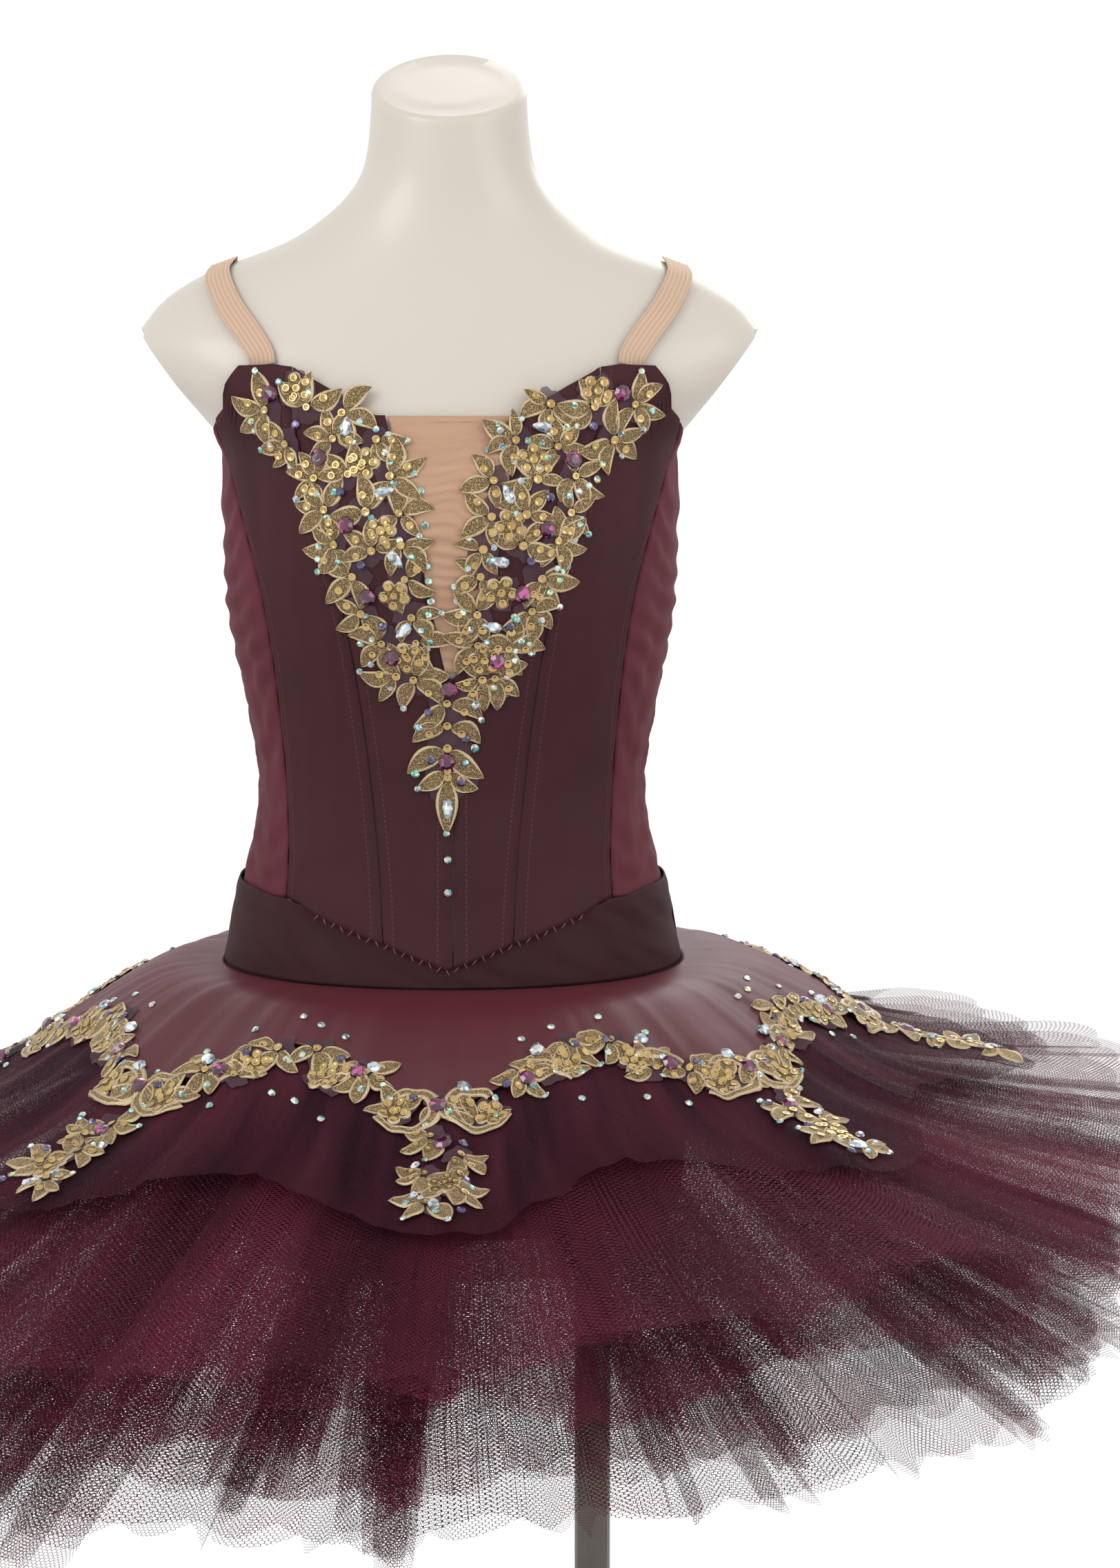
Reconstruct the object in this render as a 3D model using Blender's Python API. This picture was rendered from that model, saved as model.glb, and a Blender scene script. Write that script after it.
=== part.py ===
"""A classical ballet tutu on a limbless dress form that stands on a round base.

Metres, +Z up. The origin is the middle of the base's underside, on the floor.
The front of the garment faces -Y, and the wearer's left side is at +X.
"""

import math
from collections import namedtuple

import bmesh
import bpy

# Cloth and seams. Neighbours at a seam lie this far apart.
SEAM_GAP = 0.0003
BODICE_CLOTH = 0.0015
BASQUE_CLOTH = 0.0013
INSERT_CLOTH = 0.0010
KNICKERS_CLOTH = 0.0010
SATIN_CLOTH = 0.0016
NET_CLOTH = 0.0012
ELASTIC = 0.0015
LACE_BACKING = 0.0012
LACE_RELIEF = 0.0018

# How far out from the body each layer's inner face lies.
FORM_INSET = 0.0012
BODICE_OUT = 0.0008
BODICE_POINT_LIFT = 0.0025
KNICKERS_OUT = 0.0020
SKIRT_OUT = KNICKERS_OUT + KNICKERS_CLOTH + SEAM_GAP
STRAP_OUT = 0.0012
LACE_OUT = 0.0036

# The garment's main lines. The hip seam joins the basque, the knickers and the skirt.
HIP_SEAM_Z = 0.9605
PLATE_SEWN_Z = 0.9545
BASQUE_TOP_Z = 1.000
KNICKERS_HEM_Z = 0.800
CENTRE_SEAM_X = 0.003
SIDE_BACK_SEAM = math.radians(125)

# The stand. Its pole meets the form to one side of the middle, as the form's fixing does.
BASE_RADIUS = 0.190
BASE_THICKNESS = 0.008
BASE_EDGE = 0.002
POLE_RADIUS = 0.0118
POLE_X = 0.089
COLLAR_RADIUS = 0.026
COLLAR_HEIGHT = 0.030
FIXING_RADIUS = 0.034
FIXING_THICKNESS = 0.006
POLE_SIDES = 20
COLLAR_SIDES = 24
BASE_SIDES = 48

# The body that the garment is cut for. A row is a level section: half its width, its depths
# in front of and behind the side line, and how square it is, where 2 is an ellipse.
Section = namedtuple("Section", "z half_width front back squareness")
BODY = [
    Section(0.770, 0.1340, 0.088, 0.098, 2.30),
    Section(0.800, 0.1410, 0.096, 0.108, 2.30),
    Section(0.850, 0.1460, 0.103, 0.116, 2.25),
    Section(0.900, 0.1460, 0.106, 0.117, 2.20),
    Section(0.950, 0.1420, 0.105, 0.110, 2.20),
    Section(1.000, 0.1325, 0.099, 0.097, 2.20),
    Section(1.040, 0.1225, 0.093, 0.086, 2.20),
    Section(1.075, 0.1185, 0.089, 0.081, 2.20),
    Section(1.110, 0.1235, 0.091, 0.083, 2.20),
    Section(1.150, 0.1315, 0.097, 0.088, 2.20),
    Section(1.190, 0.1375, 0.105, 0.094, 2.25),
    Section(1.230, 0.1390, 0.110, 0.098, 2.30),
    Section(1.262, 0.1395, 0.107, 0.101, 2.35),
    Section(1.285, 0.1420, 0.100, 0.103, 2.40),
    Section(1.305, 0.1600, 0.092, 0.102, 2.40),
    Section(1.325, 0.1850, 0.084, 0.099, 2.40),
    Section(1.345, 0.1960, 0.076, 0.094, 2.40),
    Section(1.360, 0.1880, 0.069, 0.088, 2.40),
    Section(1.375, 0.1740, 0.063, 0.080, 2.30),
    Section(1.390, 0.1480, 0.058, 0.072, 2.20),
    Section(1.407, 0.1030, 0.054, 0.065, 2.10),
    Section(1.425, 0.0755, 0.051, 0.060, 2.00),
    Section(1.442, 0.0595, 0.050, 0.057, 2.00),
    Section(1.460, 0.0520, 0.050, 0.055, 2.00),
    Section(1.490, 0.0485, 0.050, 0.055, 2.00),
    Section(1.560, 0.0480, 0.050, 0.056, 2.00),
]

# The dress form adds rows where the body curves most, and ends in a slanted neck cap.
FORM_EXTRA_ROWS = [0.975, 1.020, 1.0575, 1.0925, 1.130]
NECK_ROW_ABOVE_CAP = 1.490
FORM_ARC_STEPS = 7
FORM_SIDE_STEPS = 2
FORM_ARC_END = math.radians(77)
ARM_FACE_LOW = (0.139, 1.285)
ARM_FACE_HIGH = (0.190, 1.352)
NECK_CAP_FRONT = (-0.050, 1.483)
NECK_CAP_BACK = (0.056, 1.524)

# Seams of the bodice, as heights and distances from the middle line.
Seam = namedtuple("Seam", "z x")
PRINCESS_SEAM = [
    Seam(0.980, 0.0380),
    Seam(1.050, 0.0430),
    Seam(1.130, 0.0520),
    Seam(1.200, 0.0640),
    Seam(1.240, 0.0780),
    Seam(1.310, 0.0900),
]
SIDE_FRONT_SEAM = [
    Seam(1.000, 0.1000),
    Seam(1.040, 0.0980),
    Seam(1.110, 0.1015),
    Seam(1.190, 0.1110),
    Seam(1.250, 0.1260),
    Seam(1.290, 0.1375),
]

# The edges of the front opening that the nude insert fills, from the middle line outwards.
OpeningEdge = namedtuple("OpeningEdge", "z left right")
FRONT_OPENING = [
    OpeningEdge(1.1485, CENTRE_SEAM_X, -CENTRE_SEAM_X),
    OpeningEdge(1.1510, 0.0064, 0.0011),
    OpeningEdge(1.1725, 0.0115, 0.0055),
    OpeningEdge(1.2145, 0.0260, 0.0135),
    OpeningEdge(1.2446, 0.0330, 0.0204),
    OpeningEdge(1.2795, 0.0395, 0.0290),
    OpeningEdge(1.3065, 0.0430, 0.0350),
]
INSERT_LOW_Z = 1.1520
INSERT_TOP_Z = 1.3060
INSERT_EDGE_GAP = 0.0006
INSERT_COLUMNS = 4
INSERT_ROWS = 7
PANEL_COLUMNS = {"front": 3, "cup": 6, "side": 6, "back": 5}
PANEL_ROWS = 11

# The bodice's top edge, by the angle round the body from the middle of the front.
TopEdge = namedtuple("TopEdge", "degrees z")
TOP_EDGE = [
    TopEdge(11.0, 1.3065),
    TopEdge(13.1, 1.3106),
    TopEdge(18.3, 1.3230),
    TopEdge(23.7, 1.3345),
    TopEdge(27.0, 1.3360),
    TopEdge(35.4, 1.3350),
    TopEdge(48.2, 1.3100),
    TopEdge(77.0, 1.2850),
    TopEdge(90.0, 1.2620),
    TopEdge(110.0, 1.2560),
    TopEdge(125.0, 1.2530),
    TopEdge(180.0, 1.2500),
]

# The line where bodice and basque meet, by the distance from the middle. In front the
# bodice's point lies over the basque. At the sides the basque lies over the bodice.
WaistLine = namedtuple("WaistLine", "place z bodice_rise basque_rise")
WAIST_LINE = [
    WaistLine(0.000, 0.9710, 0.0000, 0.0080),
    WaistLine(0.034, 0.9850, 0.0000, 0.0080),
    WaistLine(0.070, 0.9983, 0.0000, 0.0080),
    WaistLine(0.085, 1.0040, 0.0000, -0.0008),
    WaistLine(0.100, 1.0095, 0.0000, -0.0008),
    WaistLine(0.120, 1.0125, -0.0060, 0.0000),
]
POINT_LIFT_FULL = 0.078
POINT_LIFT_ENDS = 0.092
POINT_LIFT_HEIGHT = 0.030
ARMHOLE_EASE = 0.0032
ARMHOLE_EASE_LOW_Z = 1.280
ARMHOLE_EASE_FULL_Z = 1.300
BASQUE_FRONT_PLACES = [0.0, 0.024, 0.047, 0.070, 0.085, 0.095, 0.120, 0.130]
BasqueEase = namedtuple("BasqueEase", "place out")
BASQUE_TOP_EASE = [BasqueEase(0.085, 0.0005), BasqueEase(0.095, 0.0036)]
BASQUE_HEM_OUT = 0.0030
BASQUE_BACK_STEPS = 16
BASQUE_ROWS = 2
KNICKERS_COLUMNS = 24
KNICKERS_ROWS = 4

# Elastic straps, from the front edge over the shoulder to the back edge. The shoulder's slope
# is taken over a short step.
STRAP_WIDTH = 0.016
SLOPE_STEP = 0.002
StrapPoint = namedtuple("StrapPoint", "x z behind")
STRAP = [
    StrapPoint(0.1105, 1.3345, False),
    StrapPoint(0.1120, 1.3420, False),
    StrapPoint(0.1205, 1.3545, False),
    StrapPoint(0.1300, 1.3670, False),
    StrapPoint(0.1365, 1.3780, False),
    StrapPoint(0.1405, 1.3880, False),
    StrapPoint(0.1405, 1.3940, False),
    StrapPoint(0.1405, 1.3895, True),
    StrapPoint(0.1380, 1.3750, True),
    StrapPoint(0.1310, 1.3500, True),
    StrapPoint(0.1200, 1.3200, True),
    StrapPoint(0.1080, 1.2900, True),
    StrapPoint(0.0985, 1.2640, True),
    StrapPoint(0.0970, 1.2535, True),
]

# Lace laid on the bodice, as the edges of its outline at each height.
LaceRow = namedtuple("LaceRow", "z inner outer")
NECK_LACE = [
    LaceRow(1.142, 0.0080, 0.0360),
    LaceRow(1.165, 0.0090, 0.0530),
    LaceRow(1.188, 0.0090, 0.0590),
    LaceRow(1.212, 0.0100, 0.0640),
    LaceRow(1.235, 0.0130, 0.0760),
    LaceRow(1.257, 0.0160, 0.0880),
    LaceRow(1.273, 0.0190, 0.0900),
    LaceRow(1.287, 0.0230, 0.0900),
    LaceRow(1.304, 0.0360, 0.1180),
    LaceRow(1.318, 0.0640, 0.1215),
    LaceRow(1.332, 0.0880, 0.1185),
]
STOMACHER_LACE = [
    LaceRow(1.056, -0.0010, 0.0040),
    LaceRow(1.070, -0.0070, 0.0090),
    LaceRow(1.083, -0.0130, 0.0160),
    LaceRow(1.100, -0.0180, 0.0210),
    LaceRow(1.118, -0.0185, 0.0220),
    LaceRow(1.138, -0.0110, 0.0150),
]

NECK_LACE_COLUMNS = 4
STOMACHER_COLUMNS = 2

# The skirt. A profile row is a distance out from the hip seam, the height of the satin's top
# face there, and how far below it the net plate's top face lies.
PlateRow = namedtuple("PlateRow", "run z net_drop")
PLATE_PROFILE = [
    PlateRow(0.000, 0.9595, 0.0027),
    PlateRow(0.040, 0.9570, 0.0038),
    PlateRow(0.080, 0.9380, 0.0045),
    PlateRow(0.118, 0.9150, 0.0045),
    PlateRow(0.144, 0.9020, 0.0045),
    PlateRow(0.178, 0.8910, 0.0045),
    PlateRow(0.215, 0.8800, 0.0045),
    PlateRow(0.260, 0.8635, 0.0045),
]
POINTS = 8
SATIN_STATIONS = [0.0, 0.040]
SATIN_EDGE = 0.092
SATIN_SCALLOP = 0.018
NET_STATIONS = [0.0, 0.040, 0.080, 0.125]
NET_EDGE = 0.195
NET_SCALLOP = 0.030
PLATE_COLUMNS = 64
GARLAND_CLEAR = 0.0008
GARLAND_INNER = 0.078
GARLAND_INNER_WAVE = 0.016
GARLAND_OUTER = 0.092
GARLAND_TIP = 0.118
GARLAND_TIP_SPREAD = 0.34
GARLAND_COLUMNS = 10
GARLAND_ROWS = 3

# The net layers, top one first: where each is sewn on, its rim's radius, and how much lower
# its rim hangs at the sides. All of them sink further apart towards the rim.
NetLayer = namedtuple("NetLayer", "rim_radius side_droop turn swell")
NET_LAYERS = [
    NetLayer(0.475, 0.000, 0.0, 0.4),
    NetLayer(0.468, 0.010, 1.3, 2.1),
    NetLayer(0.455, 0.020, 2.2, 3.9),
    NetLayer(0.440, 0.030, 3.6, 5.2),
]
NetRow = namedtuple("NetRow", "share z")
NET_PROFILE = [NetRow(0.00, 0.938), NetRow(0.45, 0.874), NetRow(1.00, 0.826)]
LAYER_STEP_AT_SEAM = 0.015
LAYER_STEP_AT_RIM = 0.035
SKIRT_TILT = 0.070
WAVES = 32
COLUMNS_PER_WAVE = 4
WAVE_AT_SEAM = 0.002
WAVE_AT_RIM = 0.010
WAVE_UNEVENNESS = 0.15
WAVE_UNEVEN_TURNS = 5

LEFT, RIGHT = 1, -1
WELD = 1e-6
SOLVER_STEPS = 12


def along(rows, place, column=1):
    """A column's value between a table's rows, in straight lines, held at the ends."""
    if place <= rows[0][0]:
        return rows[0][column]
    for low, high in zip(rows, rows[1:]):
        if place <= high[0]:
            share = (place - low[0]) / (high[0] - low[0])
            return low[column] + share * (high[column] - low[column])
    return rows[-1][column]


def body_section(z):
    """The body's section at a height, on smooth curves through the table's rows."""
    z = min(max(z, BODY[0].z), BODY[-1].z)
    index = max(i for i in range(len(BODY) - 1) if BODY[i].z <= z)
    low, high = BODY[index], BODY[index + 1]
    before, after = BODY[max(index - 1, 0)], BODY[min(index + 2, len(BODY) - 1)]
    span = high.z - low.z
    share = (z - low.z) / span

    def blend(column):
        start = (high[column] - before[column]) / (high.z - before.z) * span
        end = (after[column] - low[column]) / (after.z - low.z) * span
        rise = high[column] - low[column]
        bend = start + end - 2 * rise
        return low[column] + share * (start + share * (3 * rise - 2 * start - end + share * bend))

    return Section(z, *(blend(column) for column in range(1, len(low))))


def body_point(angle, z, out=0.0):
    """A point of the body, or so far out from it. Angle 0 is in front, and 90 degrees at +X."""
    section = body_section(z)
    across, ahead = math.sin(angle), math.cos(angle)
    power = 2 / section.squareness
    depth = section.front if ahead > 0 else section.back
    x = (section.half_width + out) * math.copysign(abs(across) ** power, across)
    y = -(depth + out) * math.copysign(abs(ahead) ** power, ahead)
    return (x, y, z)


def angle_at(x, z):
    """The angle of the body's front at a distance from its middle line."""
    section = body_section(z)
    share = min(abs(x) / section.half_width, 1.0)
    return math.copysign(math.asin(share ** (section.squareness / 2)), x)


def place_round(angle, z):
    """How far round an angle is: its x in front, and on past the side towards the back."""
    section = body_section(z)
    across = section.half_width * abs(math.sin(angle)) ** (2 / section.squareness)
    return across if abs(angle) <= math.pi / 2 else 2 * section.half_width - across


def mirrored(point, side):
    """A point worked out for the wearer's left, moved to either side."""
    return (side * point[0], point[1], point[2])


def material(name, colour, roughness, metallic=0.0):
    """A plain finish."""
    finish = bpy.data.materials.new(name)
    finish.use_nodes = True
    shader = finish.node_tree.nodes["Principled BSDF"]
    shader.inputs["Base Color"].default_value = (*colour, 1.0)
    shader.inputs["Roughness"].default_value = roughness
    shader.inputs["Metallic"].default_value = metallic
    return finish


def add_object(name, bm, finish):
    """Links a finished mesh to the scene as one named piece."""
    bmesh.ops.recalc_face_normals(bm, faces=bm.faces[:])
    mesh = bpy.data.meshes.new(name)
    bm.to_mesh(mesh)
    bm.free()
    mesh.shade_smooth()
    mesh.set_sharp_from_angle(angle=math.radians(40))
    mesh.materials.append(finish)
    piece = bpy.data.objects.new(name, mesh)
    bpy.context.scene.collection.objects.link(piece)
    return piece


def mapped_grid(surface, columns, rows):
    """A grid laid on a surface of (u, v), each from 0 to 1, and the layers that keep them.

    Where the surface meets itself at u = 0 and 1, the grid closes into a tube.
    """
    bm = bmesh.new()
    u_layer = bm.verts.layers.float.new("u")
    v_layer = bm.verts.layers.float.new("v")
    bmesh.ops.create_grid(bm, x_segments=columns, y_segments=rows, size=0.5)
    for vert in bm.verts:
        vert[u_layer] = round((vert.co.x + 0.5) * columns) / columns
        vert[v_layer] = round((vert.co.y + 0.5) * rows) / rows
        vert.co = surface(vert[u_layer], vert[v_layer])
    bmesh.ops.remove_doubles(bm, verts=bm.verts[:], dist=WELD)
    return bm, u_layer, v_layer


def wall(name, finish, inner, outer, columns, rows):
    """A closed wall of cloth between an inner and an outer surface of (u, v)."""
    bm, u_layer, v_layer = mapped_grid(inner, columns, rows)
    extruded = bmesh.ops.extrude_face_region(bm, geom=bm.faces[:])["geom"]
    for vert in extruded:
        if isinstance(vert, bmesh.types.BMVert):
            vert.co = outer(vert[u_layer], vert[v_layer])
    return add_object(name, bm, finish)


def cylinder(name, finish, radius, low, high, centre_x=0.0, sides=POLE_SIDES, edge=0.0):
    """An upright round solid, with its top rim bevelled where an edge width is given."""
    bm = bmesh.new()
    bmesh.ops.create_cone(
        bm, cap_ends=True, segments=sides, radius1=radius, radius2=radius, depth=high - low
    )
    bmesh.ops.translate(bm, verts=bm.verts[:], vec=(centre_x, 0.0, (low + high) / 2))
    if edge:
        middle = (low + high) / 2
        rim = [e for e in bm.edges if all(vert.co.z > middle for vert in e.verts)]
        bmesh.ops.bevel(
            bm, geom=rim, offset=edge, segments=2, profile=0.5, affect="EDGES", material=-1
        )
    return add_object(name, bm, finish)


def build_stand():
    """The round base, its collar, the pole, and the plate that holds the form on the pole."""
    chrome = material("chrome", (0.35, 0.32, 0.30), 0.15, 1.0)
    steel = material("painted_steel", (0.80, 0.78, 0.75), 0.35)
    cylinder(
        "stand_base", steel, BASE_RADIUS, 0.0, BASE_THICKNESS, sides=BASE_SIDES, edge=BASE_EDGE
    )
    collar_low = BASE_THICKNESS + SEAM_GAP
    collar_inner = POLE_RADIUS + SEAM_GAP

    def collar_face(radius):
        def face(u, v):
            turn = 2 * math.pi * u
            x = POLE_X + radius * math.sin(turn)
            return (x, -radius * math.cos(turn), collar_low + v * COLLAR_HEIGHT)

        return face

    wall(
        "stand_collar",
        chrome,
        collar_face(collar_inner),
        collar_face(COLLAR_RADIUS),
        COLLAR_SIDES,
        1,
    )
    fixing_top = BODY[0].z - SEAM_GAP
    fixing_low = fixing_top - FIXING_THICKNESS
    cylinder("form_fixing_plate", chrome, FIXING_RADIUS, fixing_low, fixing_top, POLE_X)
    cylinder("stand_pole", chrome, POLE_RADIUS, collar_low, fixing_low - SEAM_GAP, POLE_X)


def arm_face_x(z):
    """How far out the flat arm face lies at a height, or None above and below it."""
    (low_x, low_z), (high_x, high_z) = ARM_FACE_LOW, ARM_FACE_HIGH
    if not low_z <= z <= high_z:
        return None
    return low_x + (z - low_z) / (high_z - low_z) * (high_x - low_x)


def form_ring_point(turn_steps, z):
    """A point of the form's ring. Its steps run from the front to the back on either side."""
    side = LEFT if turn_steps >= 0 else RIGHT
    steps = abs(turn_steps)
    face_x = arm_face_x(z)
    arc_end = FORM_ARC_END
    if face_x is not None:
        arc_end = min(arc_end, angle_at(face_x, z))
    if steps <= FORM_ARC_STEPS:
        angle = arc_end * steps / FORM_ARC_STEPS
        return mirrored(body_point(angle, z, -FORM_INSET), side)
    back_step = steps - FORM_ARC_STEPS - FORM_SIDE_STEPS
    if back_step >= 0:
        angle = math.pi - arc_end * (1 - back_step / FORM_ARC_STEPS)
        return mirrored(body_point(angle, z, -FORM_INSET), side)
    share = (steps - FORM_ARC_STEPS) / FORM_SIDE_STEPS
    if face_x is None:
        angle = arc_end + share * (math.pi - 2 * arc_end)
        return mirrored(body_point(angle, z, -FORM_INSET), side)
    front = body_point(arc_end, z, -FORM_INSET)
    back = body_point(math.pi - arc_end, z, -FORM_INSET)
    between = [a + share * (b - a) for a, b in zip(front, back)]
    return mirrored(between, side)


def build_form():
    """The dress form: rings from its flat underside up to the neck, and the slanted cap."""
    cream = material("form_gloss", (0.76, 0.68, 0.60), 0.25)
    # The cap's front lies below this row, so the cap takes its place.
    body_rows = [section.z for section in BODY if section.z != NECK_ROW_ABOVE_CAP]
    heights = sorted(body_rows + FORM_EXTRA_ROWS)
    rows = len(heights) - 1
    half_turn = 2 * FORM_ARC_STEPS + FORM_SIDE_STEPS
    columns = 2 * half_turn
    cap_slope = (NECK_CAP_BACK[1] - NECK_CAP_FRONT[1]) / (NECK_CAP_BACK[0] - NECK_CAP_FRONT[0])

    def skin(u, v):
        row = round(v * rows)
        steps = round(u * columns)
        if steps > half_turn:
            steps -= columns
        if steps == -half_turn:
            steps = half_turn
        x, y, z = form_ring_point(steps, heights[row])
        if row == rows:
            z = NECK_CAP_FRONT[1] + (y - NECK_CAP_FRONT[0]) * cap_slope
        return (x, y, z)

    bm, _, _ = mapped_grid(skin, columns, rows)
    bmesh.ops.holes_fill(bm, edges=[edge for edge in bm.edges if edge.is_boundary], sides=0)
    add_object("form_torso", bm, cream)


def waist_line(angle, column):
    """The height where the bodice or the basque ends, at an angle round the body."""
    place = place_round(angle, BASQUE_TOP_Z)
    return along(WAIST_LINE, place) + along(WAIST_LINE, place, column)


def bodice_low(angle):
    """The bodice's lower edge."""
    return waist_line(angle, WaistLine._fields.index("bodice_rise"))


def basque_top(angle):
    """The basque's upper edge."""
    return waist_line(angle, WaistLine._fields.index("basque_rise"))


def bodice_top(angle):
    """The bodice's upper edge."""
    return along(TOP_EDGE, math.degrees(abs(angle)))


def point_lift(angle, z):
    """How much further out the bodice's point lies in front, where it covers the basque."""
    place = place_round(angle, BASQUE_TOP_Z)
    across = (POINT_LIFT_ENDS - place) / (POINT_LIFT_ENDS - POINT_LIFT_FULL)
    upward = 1 - (z - bodice_low(angle)) / POINT_LIFT_HEIGHT
    return BODICE_POINT_LIFT * min(max(across, 0.0), 1.0) * min(max(upward, 0.0), 1.0)


def armhole_ease(z):
    """How much further out the bodice stands above the arms, where the shoulder flares."""
    share = (z - ARMHOLE_EASE_LOW_Z) / (ARMHOLE_EASE_FULL_Z - ARMHOLE_EASE_LOW_Z)
    return ARMHOLE_EASE * min(max(share, 0.0), 1.0)


def bodice_panel(name, finish, side, start, stop, columns):
    """A panel of the bodice between two seams, each a function from height to angle."""
    middle = body_section(BASQUE_TOP_Z).half_width
    half_gap = SEAM_GAP / 2 / middle

    def place(u, v):
        z = (BASQUE_TOP_Z + INSERT_TOP_Z) / 2
        for _ in range(SOLVER_STEPS):
            first, last = start(z) + half_gap, stop(z) - half_gap
            angle = first + u * (last - first)
            z = bodice_low(angle) + v * (bodice_top(angle) - bodice_low(angle))
        return angle, z

    def face(out):
        def point(u, v):
            angle, z = place(u, v)
            return mirrored(body_point(angle, z, out + point_lift(angle, z) + armhole_ease(z)), side)

        return point

    inner, outer = face(BODICE_OUT), face(BODICE_OUT + BODICE_CLOTH)
    return wall(name, finish, inner, outer, columns, PANEL_ROWS)


def princess(z):
    """The seam between the front and the side-front panel, as an angle at a height."""
    return angle_at(along(PRINCESS_SEAM, z), z)


def side_front(z):
    """The seam between the side-front and the side panel."""
    return angle_at(along(SIDE_FRONT_SEAM, z), z)


def side_back(_):
    """The upright seam between the side and the back panel."""
    return SIDE_BACK_SEAM


def centre_back(_):
    """The upright closing at the middle of the back."""
    return math.pi


def opening_edge(side):
    """The inner edge of one front panel, from the centre seam up along the insert."""
    column = OpeningEdge._fields.index("left" if side == LEFT else "right")
    return lambda z: angle_at(along(FRONT_OPENING, z, column), z)


def build_bodice():
    """Four panels on each side, and the gathered nude insert between the front two."""
    dark = material("bodice_stretch_dark", (0.065, 0.018, 0.025), 0.75)
    light = material("bodice_stretch_side", (0.155, 0.040, 0.058), 0.70)
    nude = material("nude_stretch", (0.61, 0.35, 0.22), 0.70)
    for side, letter in ((LEFT, "l"), (RIGHT, "r")):
        for part, finish, start, stop in (
            ("front", dark, opening_edge(side), princess),
            ("cup", dark, princess, side_front),
            ("side", light, side_front, side_back),
            ("back", light, side_back, centre_back),
        ):
            bodice_panel(f"bodice_{part}_{letter}", finish, side, start, stop, PANEL_COLUMNS[part])

    def insert_face(out):
        def point(u, v):
            z = INSERT_LOW_Z + v * (INSERT_TOP_Z - INSERT_LOW_Z)
            right = -along(FRONT_OPENING, z, 2) + INSERT_EDGE_GAP
            left = along(FRONT_OPENING, z, 1) - INSERT_EDGE_GAP
            x = right + u * (left - right)
            return body_point(angle_at(x, z), z, out)

        return point

    inner, outer = insert_face(BODICE_OUT), insert_face(BODICE_OUT + INSERT_CLOTH)
    wall("bodice_insert", nude, inner, outer, INSERT_COLUMNS, INSERT_ROWS)


def cross(a, b):
    """The cross product."""
    return (
        a[1] * b[2] - a[2] * b[1],
        a[2] * b[0] - a[0] * b[2],
        a[0] * b[1] - a[1] * b[0],
    )


def unit(a):
    """A direction of length one."""
    length = math.sqrt(sum(part * part for part in a))
    return [part / length for part in a]


def build_straps():
    """Two elastic straps that cross the shoulders, square to the surface all the way."""
    elastic = material("nude_elastic", (0.66, 0.43, 0.28), 0.65)
    spans = len(STRAP) - 1

    def centre(place):
        place = min(max(place, 0.0), spans)
        index = min(int(place), spans - 1)
        share = place - index
        points = []
        for row in STRAP[index : index + 2]:
            angle = angle_at(row.x, row.z)
            points.append(body_point(math.pi - angle if row.behind else angle, row.z))
        return [a + share * (b - a) for a, b in zip(*points)]

    def normal(place):
        """Square to the shoulder: the lengthwise direction crossed with the one across it."""
        row = STRAP[min(round(place), spans)]
        angle = angle_at(row.x, row.z)
        if row.behind:
            angle = math.pi - angle
        here = body_point(angle, row.z)
        round_way = [b - a for a, b in zip(here, body_point(angle + SLOPE_STEP, row.z))]
        up_way = [b - a for a, b in zip(here, body_point(angle, row.z + SLOPE_STEP))]
        return unit(cross(round_way, up_way))

    def face(out, side):
        def point(u, v):
            place = v * spans
            ahead = [b - a for a, b in zip(centre(place - 0.5), centre(place + 0.5))]
            up = normal(place)
            across = unit(cross(ahead, up))
            shift = STRAP_WIDTH * (u - 0.5)
            here = centre(place)
            spot = [c + shift * a + out * n for c, a, n in zip(here, across, up)]
            return mirrored(spot, side)

        return point

    for side, letter in ((LEFT, "l"), (RIGHT, "r")):
        inner, outer = face(STRAP_OUT, side), face(STRAP_OUT + ELASTIC, side)
        wall(f"strap_{letter}", elastic, inner, outer, 1, spans)


def build_basque():
    """The hip yoke in two halves that meet at the side seams, and the knickers below it."""
    dark = material("basque_stretch", (0.080, 0.022, 0.032), 0.72)
    net = material("knickers_stretch", (0.070, 0.018, 0.030), 0.75)
    half_gap = SEAM_GAP / 2 / body_section(BASQUE_TOP_Z).half_width
    side_seam = math.pi / 2 - half_gap
    left_half = [angle_at(place, BASQUE_TOP_Z) for place in BASQUE_FRONT_PLACES] + [side_seam]
    front_angles = [-angle for angle in reversed(left_half[1:])] + left_half
    back_start = math.pi / 2 + half_gap
    back_step = 2 * side_seam / BASQUE_BACK_STEPS
    back_angles = [back_start + back_step * step for step in range(BASQUE_BACK_STEPS + 1)]

    def half(name, angles):
        def face(thickness):
            def point(u, v):
                angle = angles[round(u * (len(angles) - 1))]
                top = basque_top(angle)
                z = HIP_SEAM_Z + v * (top - HIP_SEAM_Z)
                top_out = along(BASQUE_TOP_EASE, place_round(angle, BASQUE_TOP_Z))
                out = BASQUE_HEM_OUT + v * (top_out - BASQUE_HEM_OUT)
                return body_point(angle, z, out + thickness)

            return point

        wall(name, dark, face(0.0), face(BASQUE_CLOTH), len(angles) - 1, BASQUE_ROWS)

    half("basque_front", front_angles)
    half("basque_back", back_angles)

    def knickers_face(out):
        def point(u, v):
            z = KNICKERS_HEM_Z + v * (HIP_SEAM_Z - SEAM_GAP - KNICKERS_HEM_Z)
            return body_point(2 * math.pi * u, z, out)

        return point

    inner, outer = knickers_face(KNICKERS_OUT), knickers_face(KNICKERS_OUT + KNICKERS_CLOTH)
    wall("knickers", net, inner, outer, KNICKERS_COLUMNS, KNICKERS_ROWS)


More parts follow.
